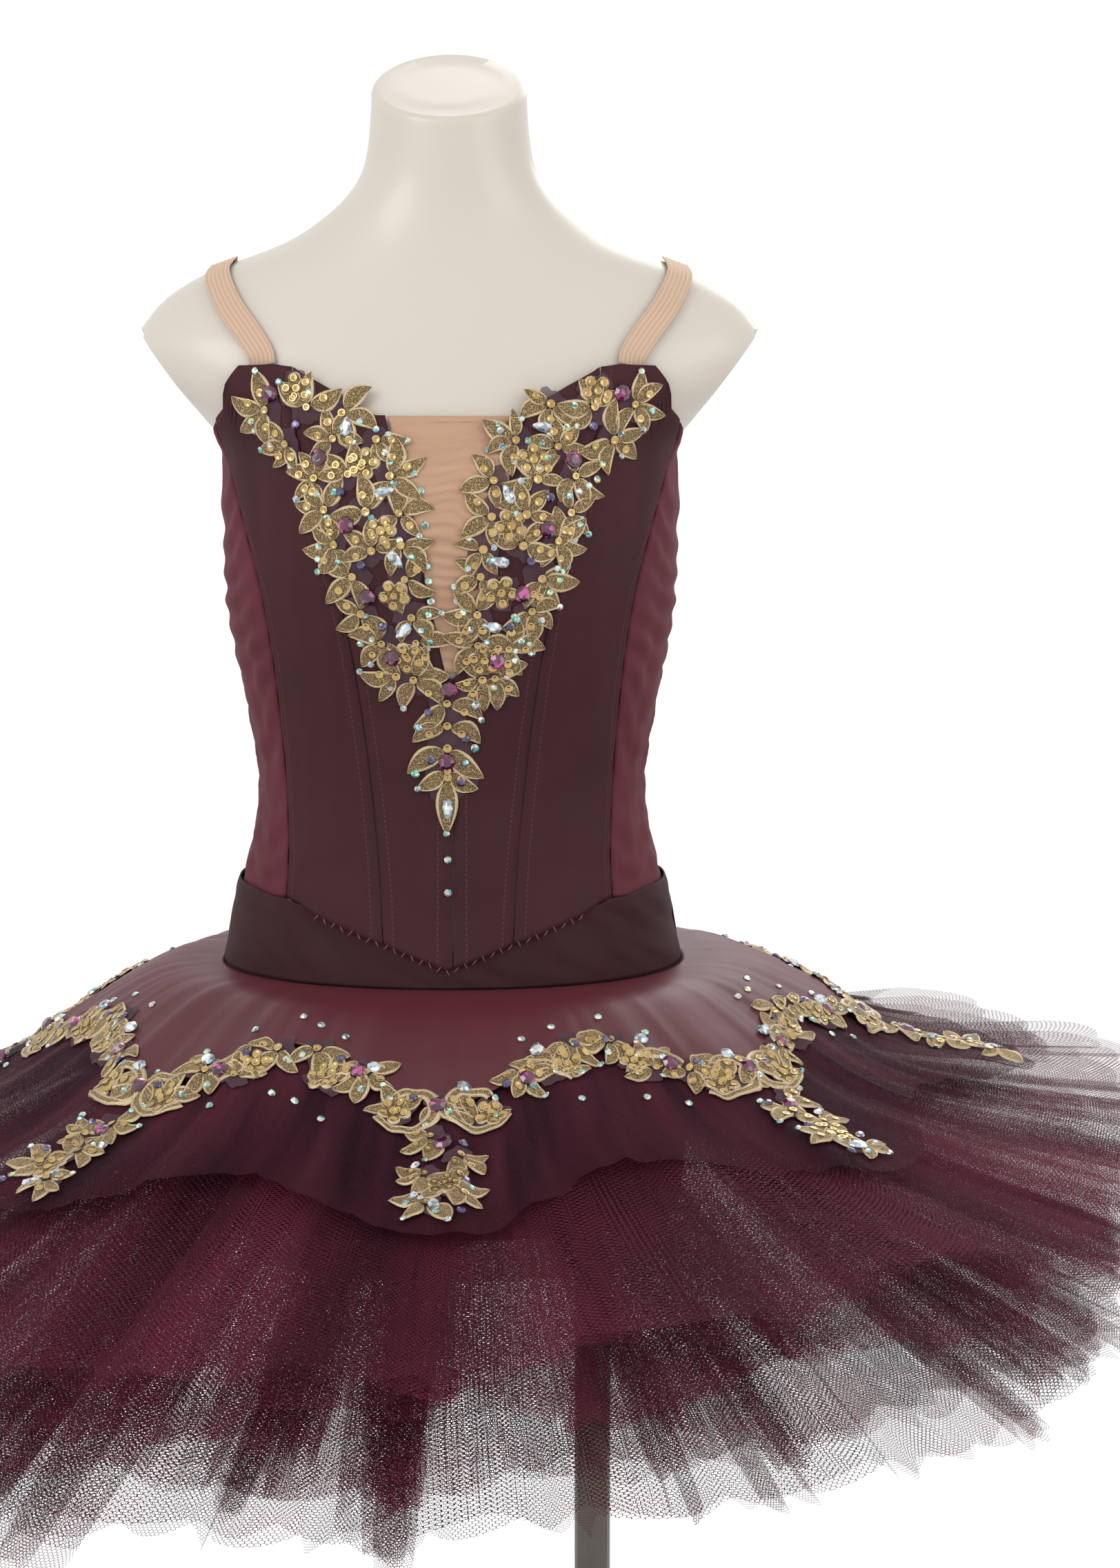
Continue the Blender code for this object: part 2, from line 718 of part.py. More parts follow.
def skirt_spot(angle, share, rim_radius, sewn_z):
    """The plan position of a share of the way from the hip out to a round rim."""
    hip = body_point(angle, sewn_z, SKIRT_OUT)
    rim = (rim_radius * math.sin(angle), -rim_radius * math.cos(angle))
    x = hip[0] + share * (rim[0] - hip[0])
    y = hip[1] + share * (rim[1] - hip[1])
    return x, y, math.hypot(rim[0] - hip[0], rim[1] - hip[1])


def plate_point(angle, run, lift):
    """A point so far out from the hip on the plates' surface, lifted off its top face."""
    rim_radius = NET_LAYERS[0].rim_radius
    _, _, length = skirt_spot(angle, 0.0, rim_radius, PLATE_SEWN_Z)
    share = run / length
    x, y, _ = skirt_spot(angle, share, rim_radius, PLATE_SEWN_Z)
    return (x, y, along(PLATE_PROFILE, run) + lift + SKIRT_TILT * x * share)


def build_plates():
    """The satin top plate over the longer net plate, both cut into eight shallow points."""
    satin = material("satin", (0.100, 0.020, 0.032), 0.35)
    net = material("plum_net", (0.055, 0.013, 0.032), 0.80)

    def station(stations, edge, scallop, u, v):
        """A row's distance from the hip. The last row follows the scalloped edge."""
        rows = len(stations)
        row = round(v * rows)
        if row < rows:
            return stations[row]
        return edge + scallop * math.cos(POINTS * 2 * math.pi * u)

    def satin_face(lift):
        def point(u, v):
            run = station(SATIN_STATIONS, SATIN_EDGE, SATIN_SCALLOP, u, v)
            return plate_point(2 * math.pi * u, run, lift)

        return point

    def net_face(thickness):
        def point(u, v):
            run = station(NET_STATIONS, NET_EDGE, NET_SCALLOP, u, v)
            drop = along(PLATE_PROFILE, run, PlateRow._fields.index("net_drop"))
            return plate_point(2 * math.pi * u, run, thickness - NET_CLOTH - drop)

        return point

    satin_rows, net_rows = len(SATIN_STATIONS), len(NET_STATIONS)
    wall("plate_satin", satin, satin_face(-SATIN_CLOTH), satin_face(0.0), PLATE_COLUMNS, satin_rows)
    wall("plate_net", net, net_face(0.0), net_face(NET_CLOTH), PLATE_COLUMNS, net_rows)


def build_net_layers():
    """The gathered net layers, sewn round the knickers one below another."""
    colour = material("burgundy_net", (0.090, 0.016, 0.034), 0.85)
    columns = WAVES * COLUMNS_PER_WAVE
    rows = len(NET_PROFILE) - 1

    def layer(number, cut):
        """One layer, whose waves stay of one count and grow towards its rim."""
        def face(thickness):
            def point(u, v):
                angle = 2 * math.pi * u
                row = NET_PROFILE[round(v * rows)]
                share = row.share
                step = LAYER_STEP_AT_SEAM + share * (LAYER_STEP_AT_RIM - LAYER_STEP_AT_SEAM)
                sewn_z = NET_PROFILE[0].z - number * LAYER_STEP_AT_SEAM
                x, y, _ = skirt_spot(angle, share, cut.rim_radius, sewn_z)
                uneven = WAVE_UNEVENNESS * math.sin(WAVE_UNEVEN_TURNS * angle + cut.swell)
                height = (WAVE_AT_SEAM + share * (WAVE_AT_RIM - WAVE_AT_SEAM)) * (1 + uneven)
                wave = height * math.sin(WAVES * angle + cut.turn)
                droop = cut.side_droop * math.sin(angle) ** 2 * share**2
                z = row.z - number * step + SKIRT_TILT * x * share - droop + wave
                return (x, y, z + thickness)

            return point

        wall(f"net_{number + 1}", colour, face(0.0), face(NET_CLOTH), columns, rows)

    for number, cut in enumerate(NET_LAYERS):
        layer(number, cut)


def relief(u, v, columns, rows):
    """How far a corded motif stands up: highest at every other point of the grid."""
    column, row = round(u * columns), round(v * rows)
    if column in (0, columns) or row in (0, rows):
        return 0.0
    return LACE_RELIEF * (0.5 + 0.5 * ((column + row) % 2))


def build_lace():
    """Gold corded lace: two sides of the neckline, the stomacher, and eight skirt motifs."""
    gold = material("gold_lace", (0.42, 0.32, 0.14), 0.45, 0.6)

    def chest_piece(name, table, side, columns):
        """A piece whose outline's edges are given at each height."""
        rows = len(table) - 1

        def face(thickness):
            def point(u, v):
                row = table[round(v * rows)]
                x = row.inner + u * (row.outer - row.inner)
                out = LACE_OUT + armhole_ease(row.z) + thickness
                if thickness:
                    out += relief(u, v, columns, rows)
                return mirrored(body_point(angle_at(x, row.z), row.z, out), side)

            return point

        wall(name, gold, face(0.0), face(LACE_BACKING), columns, rows)

    chest_piece("lace_neck_l", NECK_LACE, LEFT, NECK_LACE_COLUMNS)
    chest_piece("lace_neck_r", NECK_LACE, RIGHT, NECK_LACE_COLUMNS)
    chest_piece("lace_stomacher", STOMACHER_LACE, LEFT, STOMACHER_COLUMNS)

    half_sector = math.pi / POINTS
    half_gap = SEAM_GAP / SATIN_EDGE
    columns, rows = GARLAND_COLUMNS, GARLAND_ROWS

    def garland_piece(number):
        """One motif of the chain, whose tip runs out along the middle of its point."""
        def face(thickness):
            def point(u, v):
                across = 2 * u - 1
                turn = number * 2 * half_sector + across * (half_sector - half_gap)
                inner = GARLAND_INNER - GARLAND_INNER_WAVE * abs(across)
                tip = GARLAND_TIP * math.exp(-((across / GARLAND_TIP_SPREAD) ** 2))
                run = inner + v * (GARLAND_OUTER + tip - inner)
                lift = GARLAND_CLEAR + thickness
                if thickness:
                    lift += relief(u, v, columns, rows)
                return plate_point(turn, run, lift)

            return point

        wall(f"lace_point_{number + 1}", gold, face(0.0), face(LACE_BACKING), columns, rows)

    for number in range(POINTS):
        garland_piece(number)


def main():
    """Clears the scene and builds the whole piece, from the floor up."""
    for existing in list(bpy.data.objects):
        bpy.data.objects.remove(existing)
    build_stand()
    build_form()
    build_bodice()
    build_straps()
    build_basque()
    build_plates()
    build_net_layers()
    build_lace()


main()
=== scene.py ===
"""The looks of a classical ballet tutu on a limbless dress form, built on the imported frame.

Metres, +Z up. The garment's front faces -Y, and the wearer's left side is at +X.
"""

import math
import random
from collections import namedtuple

import bmesh
import bpy
from mathutils import Matrix, Vector, noise


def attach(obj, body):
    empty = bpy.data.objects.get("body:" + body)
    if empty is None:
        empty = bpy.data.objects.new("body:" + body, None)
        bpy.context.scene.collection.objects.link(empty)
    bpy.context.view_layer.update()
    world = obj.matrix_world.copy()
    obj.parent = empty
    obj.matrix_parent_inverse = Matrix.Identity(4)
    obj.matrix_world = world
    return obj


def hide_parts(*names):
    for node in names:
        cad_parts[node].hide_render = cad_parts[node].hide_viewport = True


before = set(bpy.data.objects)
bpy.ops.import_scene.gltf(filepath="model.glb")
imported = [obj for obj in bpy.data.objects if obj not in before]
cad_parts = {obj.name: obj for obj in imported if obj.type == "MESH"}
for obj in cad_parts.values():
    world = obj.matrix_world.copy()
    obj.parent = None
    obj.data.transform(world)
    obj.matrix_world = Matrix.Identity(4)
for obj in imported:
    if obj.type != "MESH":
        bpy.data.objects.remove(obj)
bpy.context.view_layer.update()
scene = bpy.context.scene

# The studio: a white room, a pale floor and soft lamps on both sides. The camera stands where
# the photographer's did, 2.3 m in front of the form at shoulder height, and looks a little down.
CAMERA_SPOT = (0.068, -2.3, 1.429)
CAMERA_DIP = math.radians(8.89)
PHOTO_LONG_SIDE = 36.0
LENS = 84.69
FLOOR_RADIUS = 9.0
ROOM_LIGHT = 1.09
Lamp = namedtuple("Lamp", "name spot size watts")
LAMPS = [
    Lamp("lamp_left", (-1.7, -1.9, 2.5), 1.3, 26.0),
    Lamp("lamp_right", (2.0, -1.4, 2.1), 1.6, 14.0),
    Lamp("lamp_back", (0.6, 1.9, 2.4), 1.4, 16.0),
]
LAMPS_AIM = Vector((0.0, 0.0, 1.05))

camera_data = bpy.data.cameras.new("camera")
camera_data.sensor_fit = "VERTICAL"
camera_data.sensor_height = PHOTO_LONG_SIDE
camera_data.lens = LENS
camera = bpy.data.objects.new("camera", camera_data)
camera.location = CAMERA_SPOT
camera.rotation_euler = (math.pi / 2 - CAMERA_DIP, 0.0, 0.0)
scene.collection.objects.link(camera)
scene.camera = camera
scene.view_settings.view_transform = "Standard"
scene.cycles.transparent_max_bounces = 96

world = bpy.data.worlds.new("white_room")
world.use_nodes = True
world.node_tree.nodes["Background"].inputs["Color"].default_value = (1.0, 1.0, 1.0, 1.0)
world.node_tree.nodes["Background"].inputs["Strength"].default_value = ROOM_LIGHT
scene.world = world

for lamp in LAMPS:
    light = bpy.data.lights.new(lamp.name, "AREA")
    light.size = lamp.size
    light.energy = lamp.watts
    holder = bpy.data.objects.new(lamp.name, light)
    holder.location = lamp.spot
    holder.rotation_euler = (LAMPS_AIM - holder.location).to_track_quat("-Z", "Y").to_euler()
    scene.collection.objects.link(holder)


class Socket:
    """A value in a material. Sums and products of it add their Math nodes."""

    def __init__(self, finish, output):
        self.finish = finish
        self.output = output

    def math(self, operation, *values):
        return self.finish.add("ShaderNodeMath", {"operation": operation}, dict(enumerate(values)))

    def __add__(self, other):
        return self.math("ADD", self, other)

    def __sub__(self, other):
        return self.math("SUBTRACT", self, other)

    def __rsub__(self, other):
        return self.math("SUBTRACT", other, self)

    def __mul__(self, other):
        return self.math("MULTIPLY", self, other)

    def __truediv__(self, other):
        return self.math("DIVIDE", self, other)

    def __mod__(self, other):
        return self.math("FLOORED_MODULO", self, other)

    def __lt__(self, other):
        return self.math("LESS_THAN", self, other)

    def __gt__(self, other):
        return self.math("GREATER_THAN", self, other)

    def __abs__(self):
        return self.math("ABSOLUTE", self)

    __radd__ = __add__
    __rmul__ = __mul__

    def smaller(self, other):
        return self.math("MINIMUM", self, other)

    def larger(self, other):
        return self.math("MAXIMUM", self, other)

    def sine(self):
        return self.math("SINE", self)

    def cosine(self):
        return self.math("COSINE", self)


class Finish:
    """A material made of nodes that all end in one shader."""

    def __init__(self, name, **sockets):
        self.material = bpy.data.materials.new(name)
        self.material.use_nodes = True
        self.tree = self.material.node_tree
        self.shader = self.tree.nodes["Principled BSDF"]
        self.wear(**sockets)

    def wear(self, **sockets):
        """Sets the shader's own sockets, where Base_Color means Base Color."""
        for name, value in sockets.items():
            self.fill(self.shader.inputs[name.replace("_", " ")], value)

    def fill(self, socket, value):
        if isinstance(value, Socket):
            self.tree.links.new(value.output, socket)
        else:
            socket.default_value = value

    def add(self, kind, settings=None, values=None, output=0):
        """Adds a node: first its settings and a ramp's stops, then its sockets' values."""
        node = self.tree.nodes.new(kind)
        settings = dict(settings or {})
        for index, (place, colour) in enumerate(settings.pop("stops", [])):
            ramp = node.color_ramp.elements
            stop = ramp[index] if index < 2 else ramp.new(place)
            stop.position = place
            stop.color = colour
        for name, value in settings.items():
            setattr(node, name, value)
        for name, value in (values or {}).items():
            self.fill(node.inputs[name], value)
        return Socket(self, node.outputs[output])

    def place(self):
        return self.add("ShaderNodeTexCoord", output="Object")

    def grain(self, scale, detail=2.0, vector=None, roughness=0.5):
        """Soft noise from 0 to 1."""
        values = {"Scale": scale, "Detail": detail, "Roughness": roughness}
        values["Vector"] = vector or self.place()
        return self.add("ShaderNodeTexNoise", None, values)

    def mixed(self, factor, first, second):
        """One colour at factor 0, the other at 1."""
        return self.add(
            "ShaderNodeMix", {"data_type": "RGBA"}, {0: factor, 6: first, 7: second}, output=2
        )

    def raised(self, height, distance, strength=1.0):
        """A bump from a height between 0 and 1, that many metres tall."""
        return self.add(
            "ShaderNodeBump", None, {"Height": height, "Distance": distance, "Strength": strength}
        )

    def split(self, vector):
        """A vector's X and Y."""
        first = self.add("ShaderNodeSeparateXYZ", None, {"Vector": vector})
        return first, Socket(self, first.output.node.outputs["Y"])

    def stretched(self, vector, scale):
        """A vector made larger by its own amount on each axis."""
        return self.add("ShaderNodeMapping", None, {"Vector": vector, "Scale": scale})

    def cut_place(self):
        return self.add("ShaderNodeUVMap", {"uv_map": "cut"})

    def cut(self):
        """How far along and up its cut cloth a point is, in metres."""
        return self.split(self.cut_place())


def dye(red, green, blue, strength=1.0):
    """A colour as it is read off a screen, 0 to 255, in the linear values that nodes use."""
    linear = [((part / 255 + 0.055) / 1.055) ** 2.4 * strength for part in (red, green, blue)]
    return (*linear, 1.0)


def show(name, bm, finishes, smooth=True, sharp=40):
    """Links a finished mesh into the scene as one piece."""
    mesh = bpy.data.meshes.new(name)
    bm.to_mesh(mesh)
    bm.free()
    if smooth:
        mesh.shade_smooth()
        mesh.set_sharp_from_angle(angle=math.radians(sharp))
    for finish in finishes:
        mesh.materials.append(finish.material)
    piece = bpy.data.objects.new(name, mesh)
    scene.collection.objects.link(piece)
    return piece


floor_finish = Finish("pale_floor", Roughness=0.9)
floor_finish.wear(
    Base_Color=floor_finish.mixed(
        floor_finish.grain(3.0, 4.0), (0.92, 0.92, 0.92, 1.0), (0.95, 0.95, 0.95, 1.0)
    )
)
floor_mesh = bmesh.new()
bmesh.ops.create_circle(floor_mesh, cap_ends=True, radius=FLOOR_RADIUS, segments=96)
show("floor", floor_mesh, [floor_finish])

# The stand: a powder-coated steel disc, a chromed collar and pole, and the round plate that
# holds the form on the pole. All four are the frame's own solids, and get their finishes here.
chrome = Finish("dark_chrome", Metallic=1.0)
chrome_smears = chrome.grain(14.0, 5.0)
chrome.wear(
    Base_Color=chrome.mixed(chrome_smears, dye(58, 54, 50), dye(112, 106, 99)),
    Roughness=chrome_smears * 0.14 + 0.08,
)
powder_coat = Finish("powder_coat", Coat_Weight=0.2)
orange_peel = powder_coat.grain(900.0, 2.0)
powder_coat.wear(
    Base_Color=powder_coat.mixed(powder_coat.grain(9.0, 4.0), dye(206, 203, 198), dye(222, 219, 214)),
    Roughness=powder_coat.grain(60.0, 3.0) * 0.15 + 0.32,
    Normal=powder_coat.raised(orange_peel, 0.00012),
)
for node, finish in (
    ("stand_base", powder_coat),
    ("stand_collar", chrome),
    ("stand_pole", chrome),
    ("form_fixing_plate", chrome),
):
    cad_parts[node].data.materials.clear()
    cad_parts[node].data.materials.append(finish.material)

# The dress form: a hollow glass-fibre bust with no arms or head, sprayed gloss cream. It has
# flat arm faces and a slanted neck cap, with the small round edges that a mould leaves.
Section = namedtuple("Section", "z half_width front back squareness")
BODY = [
    Section(0.770, 0.1340, 0.088, 0.098, 2.30),
    Section(0.800, 0.1410, 0.096, 0.108, 2.30),
    Section(0.850, 0.1460, 0.103, 0.116, 2.25),
    Section(0.900, 0.1460, 0.106, 0.117, 2.20),
    Section(0.950, 0.1420, 0.105, 0.110, 2.20),
    Section(1.000, 0.1325, 0.099, 0.097, 2.20),
    Section(1.040, 0.1225, 0.093, 0.086, 2.20),
    Section(1.075, 0.1185, 0.089, 0.081, 2.20),
    Section(1.110, 0.1235, 0.091, 0.083, 2.20),
    Section(1.150, 0.1315, 0.097, 0.088, 2.20),
    Section(1.190, 0.1375, 0.105, 0.094, 2.25),
    Section(1.230, 0.1390, 0.110, 0.098, 2.30),
    Section(1.262, 0.1395, 0.107, 0.101, 2.35),
    Section(1.285, 0.1420, 0.100, 0.103, 2.40),
    Section(1.305, 0.1600, 0.092, 0.102, 2.40),
    Section(1.325, 0.1850, 0.084, 0.099, 2.40),
    Section(1.345, 0.1960, 0.076, 0.094, 2.40),
    Section(1.360, 0.1880, 0.069, 0.088, 2.40),
    Section(1.375, 0.1740, 0.063, 0.080, 2.30),
    Section(1.390, 0.1480, 0.058, 0.072, 2.20),
    Section(1.407, 0.1030, 0.054, 0.065, 2.10),
    Section(1.425, 0.0755, 0.051, 0.060, 2.00),
    Section(1.442, 0.0595, 0.050, 0.057, 2.00),
    Section(1.460, 0.0520, 0.050, 0.055, 2.00),
    Section(1.490, 0.0485, 0.050, 0.055, 2.00),
    Section(1.560, 0.0480, 0.050, 0.056, 2.00),
]
FORM_INSET = 0.0012
FORM_ARC_END = math.radians(77)
ARM_FACE_LOW = (0.139, 1.285)
ARM_FACE_HIGH = (0.190, 1.352)
NECK_CAP_FRONT = (-0.050, 1.483)
NECK_CAP_BACK = (0.056, 1.524)
NECK_ROUNDING = 0.0045
FORM_BODY_ROWS = 150
FORM_ROUND_ROWS = 5
FORM_CAP_ROWS = 5
FORM_ARC_COLUMNS = 24
FORM_SIDE_COLUMNS = 8
NECK_BLEND = 0.030
LEFT, RIGHT = 1, -1
WELD = 1e-6


def along(rows, place, column=1):
    """A column's value between a table's rows, in straight lines, held at the ends."""
    if place <= rows[0][0]:
        return rows[0][column]
    for low, high in zip(rows, rows[1:]):
        if place <= high[0]:
            share = (place - low[0]) / (high[0] - low[0])
            return low[column] + share * (high[column] - low[column])
    return rows[-1][column]


def smooth_along(rows, place, column=1):
    """A column's value between a table's rows, on a smooth curve, held at the ends."""
    place = min(max(place, rows[0][0]), rows[-1][0])
    index = max(i for i in range(len(rows) - 1) if rows[i][0] <= place)
    low, high = rows[index], rows[index + 1]
    before, after = rows[max(index - 1, 0)], rows[min(index + 2, len(rows) - 1)]
    span = high[0] - low[0]
    share = (place - low[0]) / span
    start = (high[column] - before[column]) / (high[0] - before[0]) * span
    end = (after[column] - low[column]) / (after[0] - low[0]) * span
    rise = high[column] - low[column]
    bend = start + end - 2 * rise
    return low[column] + share * (start + share * (3 * rise - 2 * start - end + share * bend))


sections = {}


def body_section(z):
    """The body's section at a height, on smooth curves through the table's rows."""
    key = round(z, 5)
    if key not in sections:
        sections[key] = Section(key, *(smooth_along(BODY, key, column) for column in range(1, 5)))
    return sections[key]


def body_point(angle, z, out=0.0):
    """A point of the body, or so far out from it. Angle 0 is in front, and 90 degrees at +X."""
    section = body_section(z)
    across, ahead = math.sin(angle), math.cos(angle)
    power = 2 / section.squareness
    depth = section.front if ahead > 0 else section.back
    x = (section.half_width + out) * math.copysign(abs(across) ** power, across)
    y = -(depth + out) * math.copysign(abs(ahead) ** power, ahead)
    return (x, y, z)


def angle_at(x, z):
    """The angle of the body's front at a distance from its middle line."""
    section = body_section(z)
    share = min(abs(x) / section.half_width, 1.0)
    return math.copysign(math.asin(share ** (section.squareness / 2)), x)


def cloth_grid(surface, columns, rows, spread=None):
    """A grid laid on a surface of (u, v) from 0 to 1, with its UVs in metres on the cut cloth.

    Where the surface meets itself at u = 0 and 1, the grid closes into a tube. spread gives
    the cut's UV at (u, v).
    """
    bm = bmesh.new()
    cut_layer = bm.loops.layers.uv.new("cut")
    bmesh.ops.create_grid(bm, x_segments=columns, y_segments=rows, size=0.5)
    places = {vert: (vert.co.x + 0.5, vert.co.y + 0.5) for vert in bm.verts}
    if spread:
        for face in bm.faces:
            for loop in face.loops:
                loop[cut_layer].uv = spread(*places[loop.vert])
    for vert, (u, v) in places.items():
        vert.co = surface(u, v)
    bmesh.ops.remove_doubles(bm, verts=bm.verts[:], dist=WELD)
    bmesh.ops.recalc_face_normals(bm, faces=bm.faces[:])
    return bm


def arm_face_x(z):
    """How far out the flat arm face lies at a height, or None above and below it."""
    (low_x, low_z), (high_x, high_z) = ARM_FACE_LOW, ARM_FACE_HIGH
    if not low_z <= z <= high_z:
        return None
    return low_x + (z - low_z) / (high_z - low_z) * (high_x - low_x)


def form_ring_point(step, z):
    """A point of the form's ring. Its steps run from the front to the back on either side."""
    side = LEFT if step >= 0 else RIGHT
    step = abs(step)
    face_x = arm_face_x(z)
    arc_end = FORM_ARC_END if face_x is None else min(FORM_ARC_END, angle_at(face_x, z))
    last = 2 * FORM_ARC_COLUMNS + FORM_SIDE_COLUMNS
    if step <= FORM_ARC_COLUMNS:
        x, y, z = body_point(arc_end * step / FORM_ARC_COLUMNS, z, -FORM_INSET)
    elif step >= last - FORM_ARC_COLUMNS:
        angle = math.pi - arc_end * (last - step) / FORM_ARC_COLUMNS
        x, y, z = body_point(angle, z, -FORM_INSET)
    else:
        share = (step - FORM_ARC_COLUMNS) / FORM_SIDE_COLUMNS
        if face_x is None:
            x, y, z = body_point(arc_end + share * (math.pi - 2 * arc_end), z, -FORM_INSET)
        else:
            front = body_point(arc_end, z, -FORM_INSET)
            back = body_point(math.pi - arc_end, z, -FORM_INSET)
            x, y = (a + share * (b - a) for a, b in zip(front[:2], back[:2]))
    return (side * x, y, z)


cap_slope = (NECK_CAP_BACK[1] - NECK_CAP_FRONT[1]) / (NECK_CAP_BACK[0] - NECK_CAP_FRONT[0])
cap_middle_y = (NECK_CAP_FRONT[0] + NECK_CAP_BACK[0]) / 2
form_half = 2 * FORM_ARC_COLUMNS + FORM_SIDE_COLUMNS
form_rows = FORM_CAP_ROWS + FORM_BODY_ROWS + FORM_ROUND_ROWS + FORM_CAP_ROWS


def form_skin(u, v):
    """The form's skin: its flat underside, the body, the neck's round edge and the cap."""
    row = round(v * form_rows)
    step = round(u * 2 * form_half)
    step -= 2 * form_half if step > form_half else 0
    step = form_half if step == -form_half else step
    if row < FORM_CAP_ROWS:
        x, y, z = form_ring_point(step, BODY[0].z)
        return (x * row / FORM_CAP_ROWS, y * row / FORM_CAP_ROWS, z)
    share = min((row - FORM_CAP_ROWS) / FORM_BODY_ROWS, 1.0)
    z = BODY[0].z + share * (NECK_CAP_FRONT[1] - BODY[0].z)
    x, y, z = form_ring_point(step, z)
    cap_z = NECK_CAP_FRONT[1] + (y - NECK_CAP_FRONT[0]) * cap_slope
    below = NECK_CAP_FRONT[1] - z
    z += (cap_z - NECK_ROUNDING - NECK_CAP_FRONT[1]) * max(1 - below / NECK_BLEND, 0.0) ** 2
    turn = min(max(row - FORM_CAP_ROWS - FORM_BODY_ROWS, 0) / FORM_ROUND_ROWS, 1.0) * math.pi / 2
    inward = NECK_ROUNDING * (1 - math.cos(turn))
    reach = math.hypot(x, y)
    keep = 1 - inward / reach
    if row > FORM_CAP_ROWS + FORM_BODY_ROWS:
        z = cap_z - NECK_ROUNDING * (1 - math.sin(turn))
    cap_share = max(row - FORM_CAP_ROWS - FORM_BODY_ROWS - FORM_ROUND_ROWS, 0) / FORM_CAP_ROWS
    x, y = x * keep, y * keep
    flat_x, flat_y = x * (1 - cap_share), y + (cap_middle_y - y) * cap_share
    if cap_share:
        z = NECK_CAP_FRONT[1] + (flat_y - NECK_CAP_FRONT[0]) * cap_slope
    return (flat_x, flat_y, z)


cream = Finish("form_cream", Coat_Weight=0.3, Coat_Roughness=0.22)
cream.wear(
    Base_Color=cream.mixed(cream.grain(5.0, 4.0), dye(181, 173, 161), dye(190, 182, 171)),
    Roughness=cream.grain(30.0, 4.0) * 0.12 + 0.40,
    Normal=cream.raised(cream.grain(45.0, 3.0), 0.0002, 0.5),
)
form = show("form_shell", cloth_grid(form_skin, 2 * form_half, form_rows), [cream], sharp=35)
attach(form, "root")
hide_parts("form_torso")

# The bodice: boned stretch panels in a dark burgundy in front, and lighter shirred ones at the
# sides and back. They are sewn edge to edge, and twin rows of stitching hold the bones.
Seam = namedtuple("Seam", "z x")
PRINCESS_SEAM = [
    Seam(0.980, 0.0380),
    Seam(1.050, 0.0430),
    Seam(1.130, 0.0520),
    Seam(1.200, 0.0640),
    Seam(1.240, 0.0780),
    Seam(1.310, 0.0900),
]
SIDE_FRONT_SEAM = [
    Seam(1.000, 0.1000),
    Seam(1.040, 0.0980),
    Seam(1.110, 0.1015),
    Seam(1.190, 0.1110),
    Seam(1.250, 0.1260),
    Seam(1.290, 0.1375),
]
CENTRE_SEAM_X = 0.003
OpeningEdge = namedtuple("OpeningEdge", "z left right")
FRONT_OPENING = [
    OpeningEdge(1.1485, CENTRE_SEAM_X, -CENTRE_SEAM_X),
    OpeningEdge(1.1510, 0.0064, 0.0011),
    OpeningEdge(1.1725, 0.0115, 0.0055),
    OpeningEdge(1.2145, 0.0260, 0.0135),
    OpeningEdge(1.2446, 0.0330, 0.0204),
    OpeningEdge(1.2795, 0.0395, 0.0290),
    OpeningEdge(1.3065, 0.0430, 0.0350),
]
TopEdge = namedtuple("TopEdge", "degrees z")
TOP_EDGE = [
    TopEdge(11.0, 1.3065),
    TopEdge(13.1, 1.3106),
    TopEdge(18.3, 1.3230),
    TopEdge(23.7, 1.3345),
    TopEdge(27.0, 1.3360),
    TopEdge(35.4, 1.3350),
    TopEdge(48.2, 1.3100),
    TopEdge(77.0, 1.2850),
    TopEdge(90.0, 1.2620),
    TopEdge(110.0, 1.2560),
    TopEdge(125.0, 1.2530),
    TopEdge(180.0, 1.2500),
]
WaistLine = namedtuple("WaistLine", "place z bodice_rise basque_rise")
WAIST_LINE = [
    WaistLine(0.000, 0.9710, 0.0000, 0.0080),
    WaistLine(0.034, 0.9850, 0.0000, 0.0080),
    WaistLine(0.070, 0.9983, 0.0000, 0.0080),
    WaistLine(0.085, 1.0040, 0.0000, -0.0008),
    WaistLine(0.100, 1.0095, 0.0000, -0.0008),
    WaistLine(0.120, 1.0125, -0.0060, 0.0000),
]
BASQUE_TOP_Z = 1.000
SIDE_BACK_SEAM = math.radians(125)
BODICE_OUT = 0.0008
BODICE_CLOTH = 0.0015
BODICE_POINT_LIFT = 0.0025
POINT_LIFT_FULL = 0.078
POINT_LIFT_ENDS = 0.092
POINT_LIFT_HEIGHT = 0.030
ARMHOLE_EASE = 0.0032
ARMHOLE_EASE_LOW_Z = 1.280
ARMHOLE_EASE_FULL_Z = 1.300
SEAM_GAP = 0.0003
SEAM_DIP = 0.0011
SEAM_DIP_REACH = 0.0022
PANEL_COLUMNS = 44
PANEL_ROWS = 116
PANEL_EDGE_CROWD = 0.16
SOLVER_STEPS = 7
SHIRR_PITCH = 0.0235
SHIRR_DEPTH = 0.0013
SHIRR_DRIFT = 2.4
HANDLING = 0.0011
PANEL_BACKING = 0.8
STITCH_PITCH = 0.0032
STITCH_LENGTH = 0.0020
STITCH_WIDTH = 0.00045


def place_round(angle, z):
    """How far round an angle is: its x in front, and on past the side towards the back."""
    section = body_section(z)
    across = section.half_width * abs(math.sin(angle)) ** (2 / section.squareness)
    return across if abs(angle) <= math.pi / 2 else 2 * section.half_width - across


def waist_line(angle, column):
    """The height where the bodice or the basque ends, at an angle round the body."""
    place = place_round(angle, BASQUE_TOP_Z)
    return along(WAIST_LINE, place) + along(WAIST_LINE, place, column)


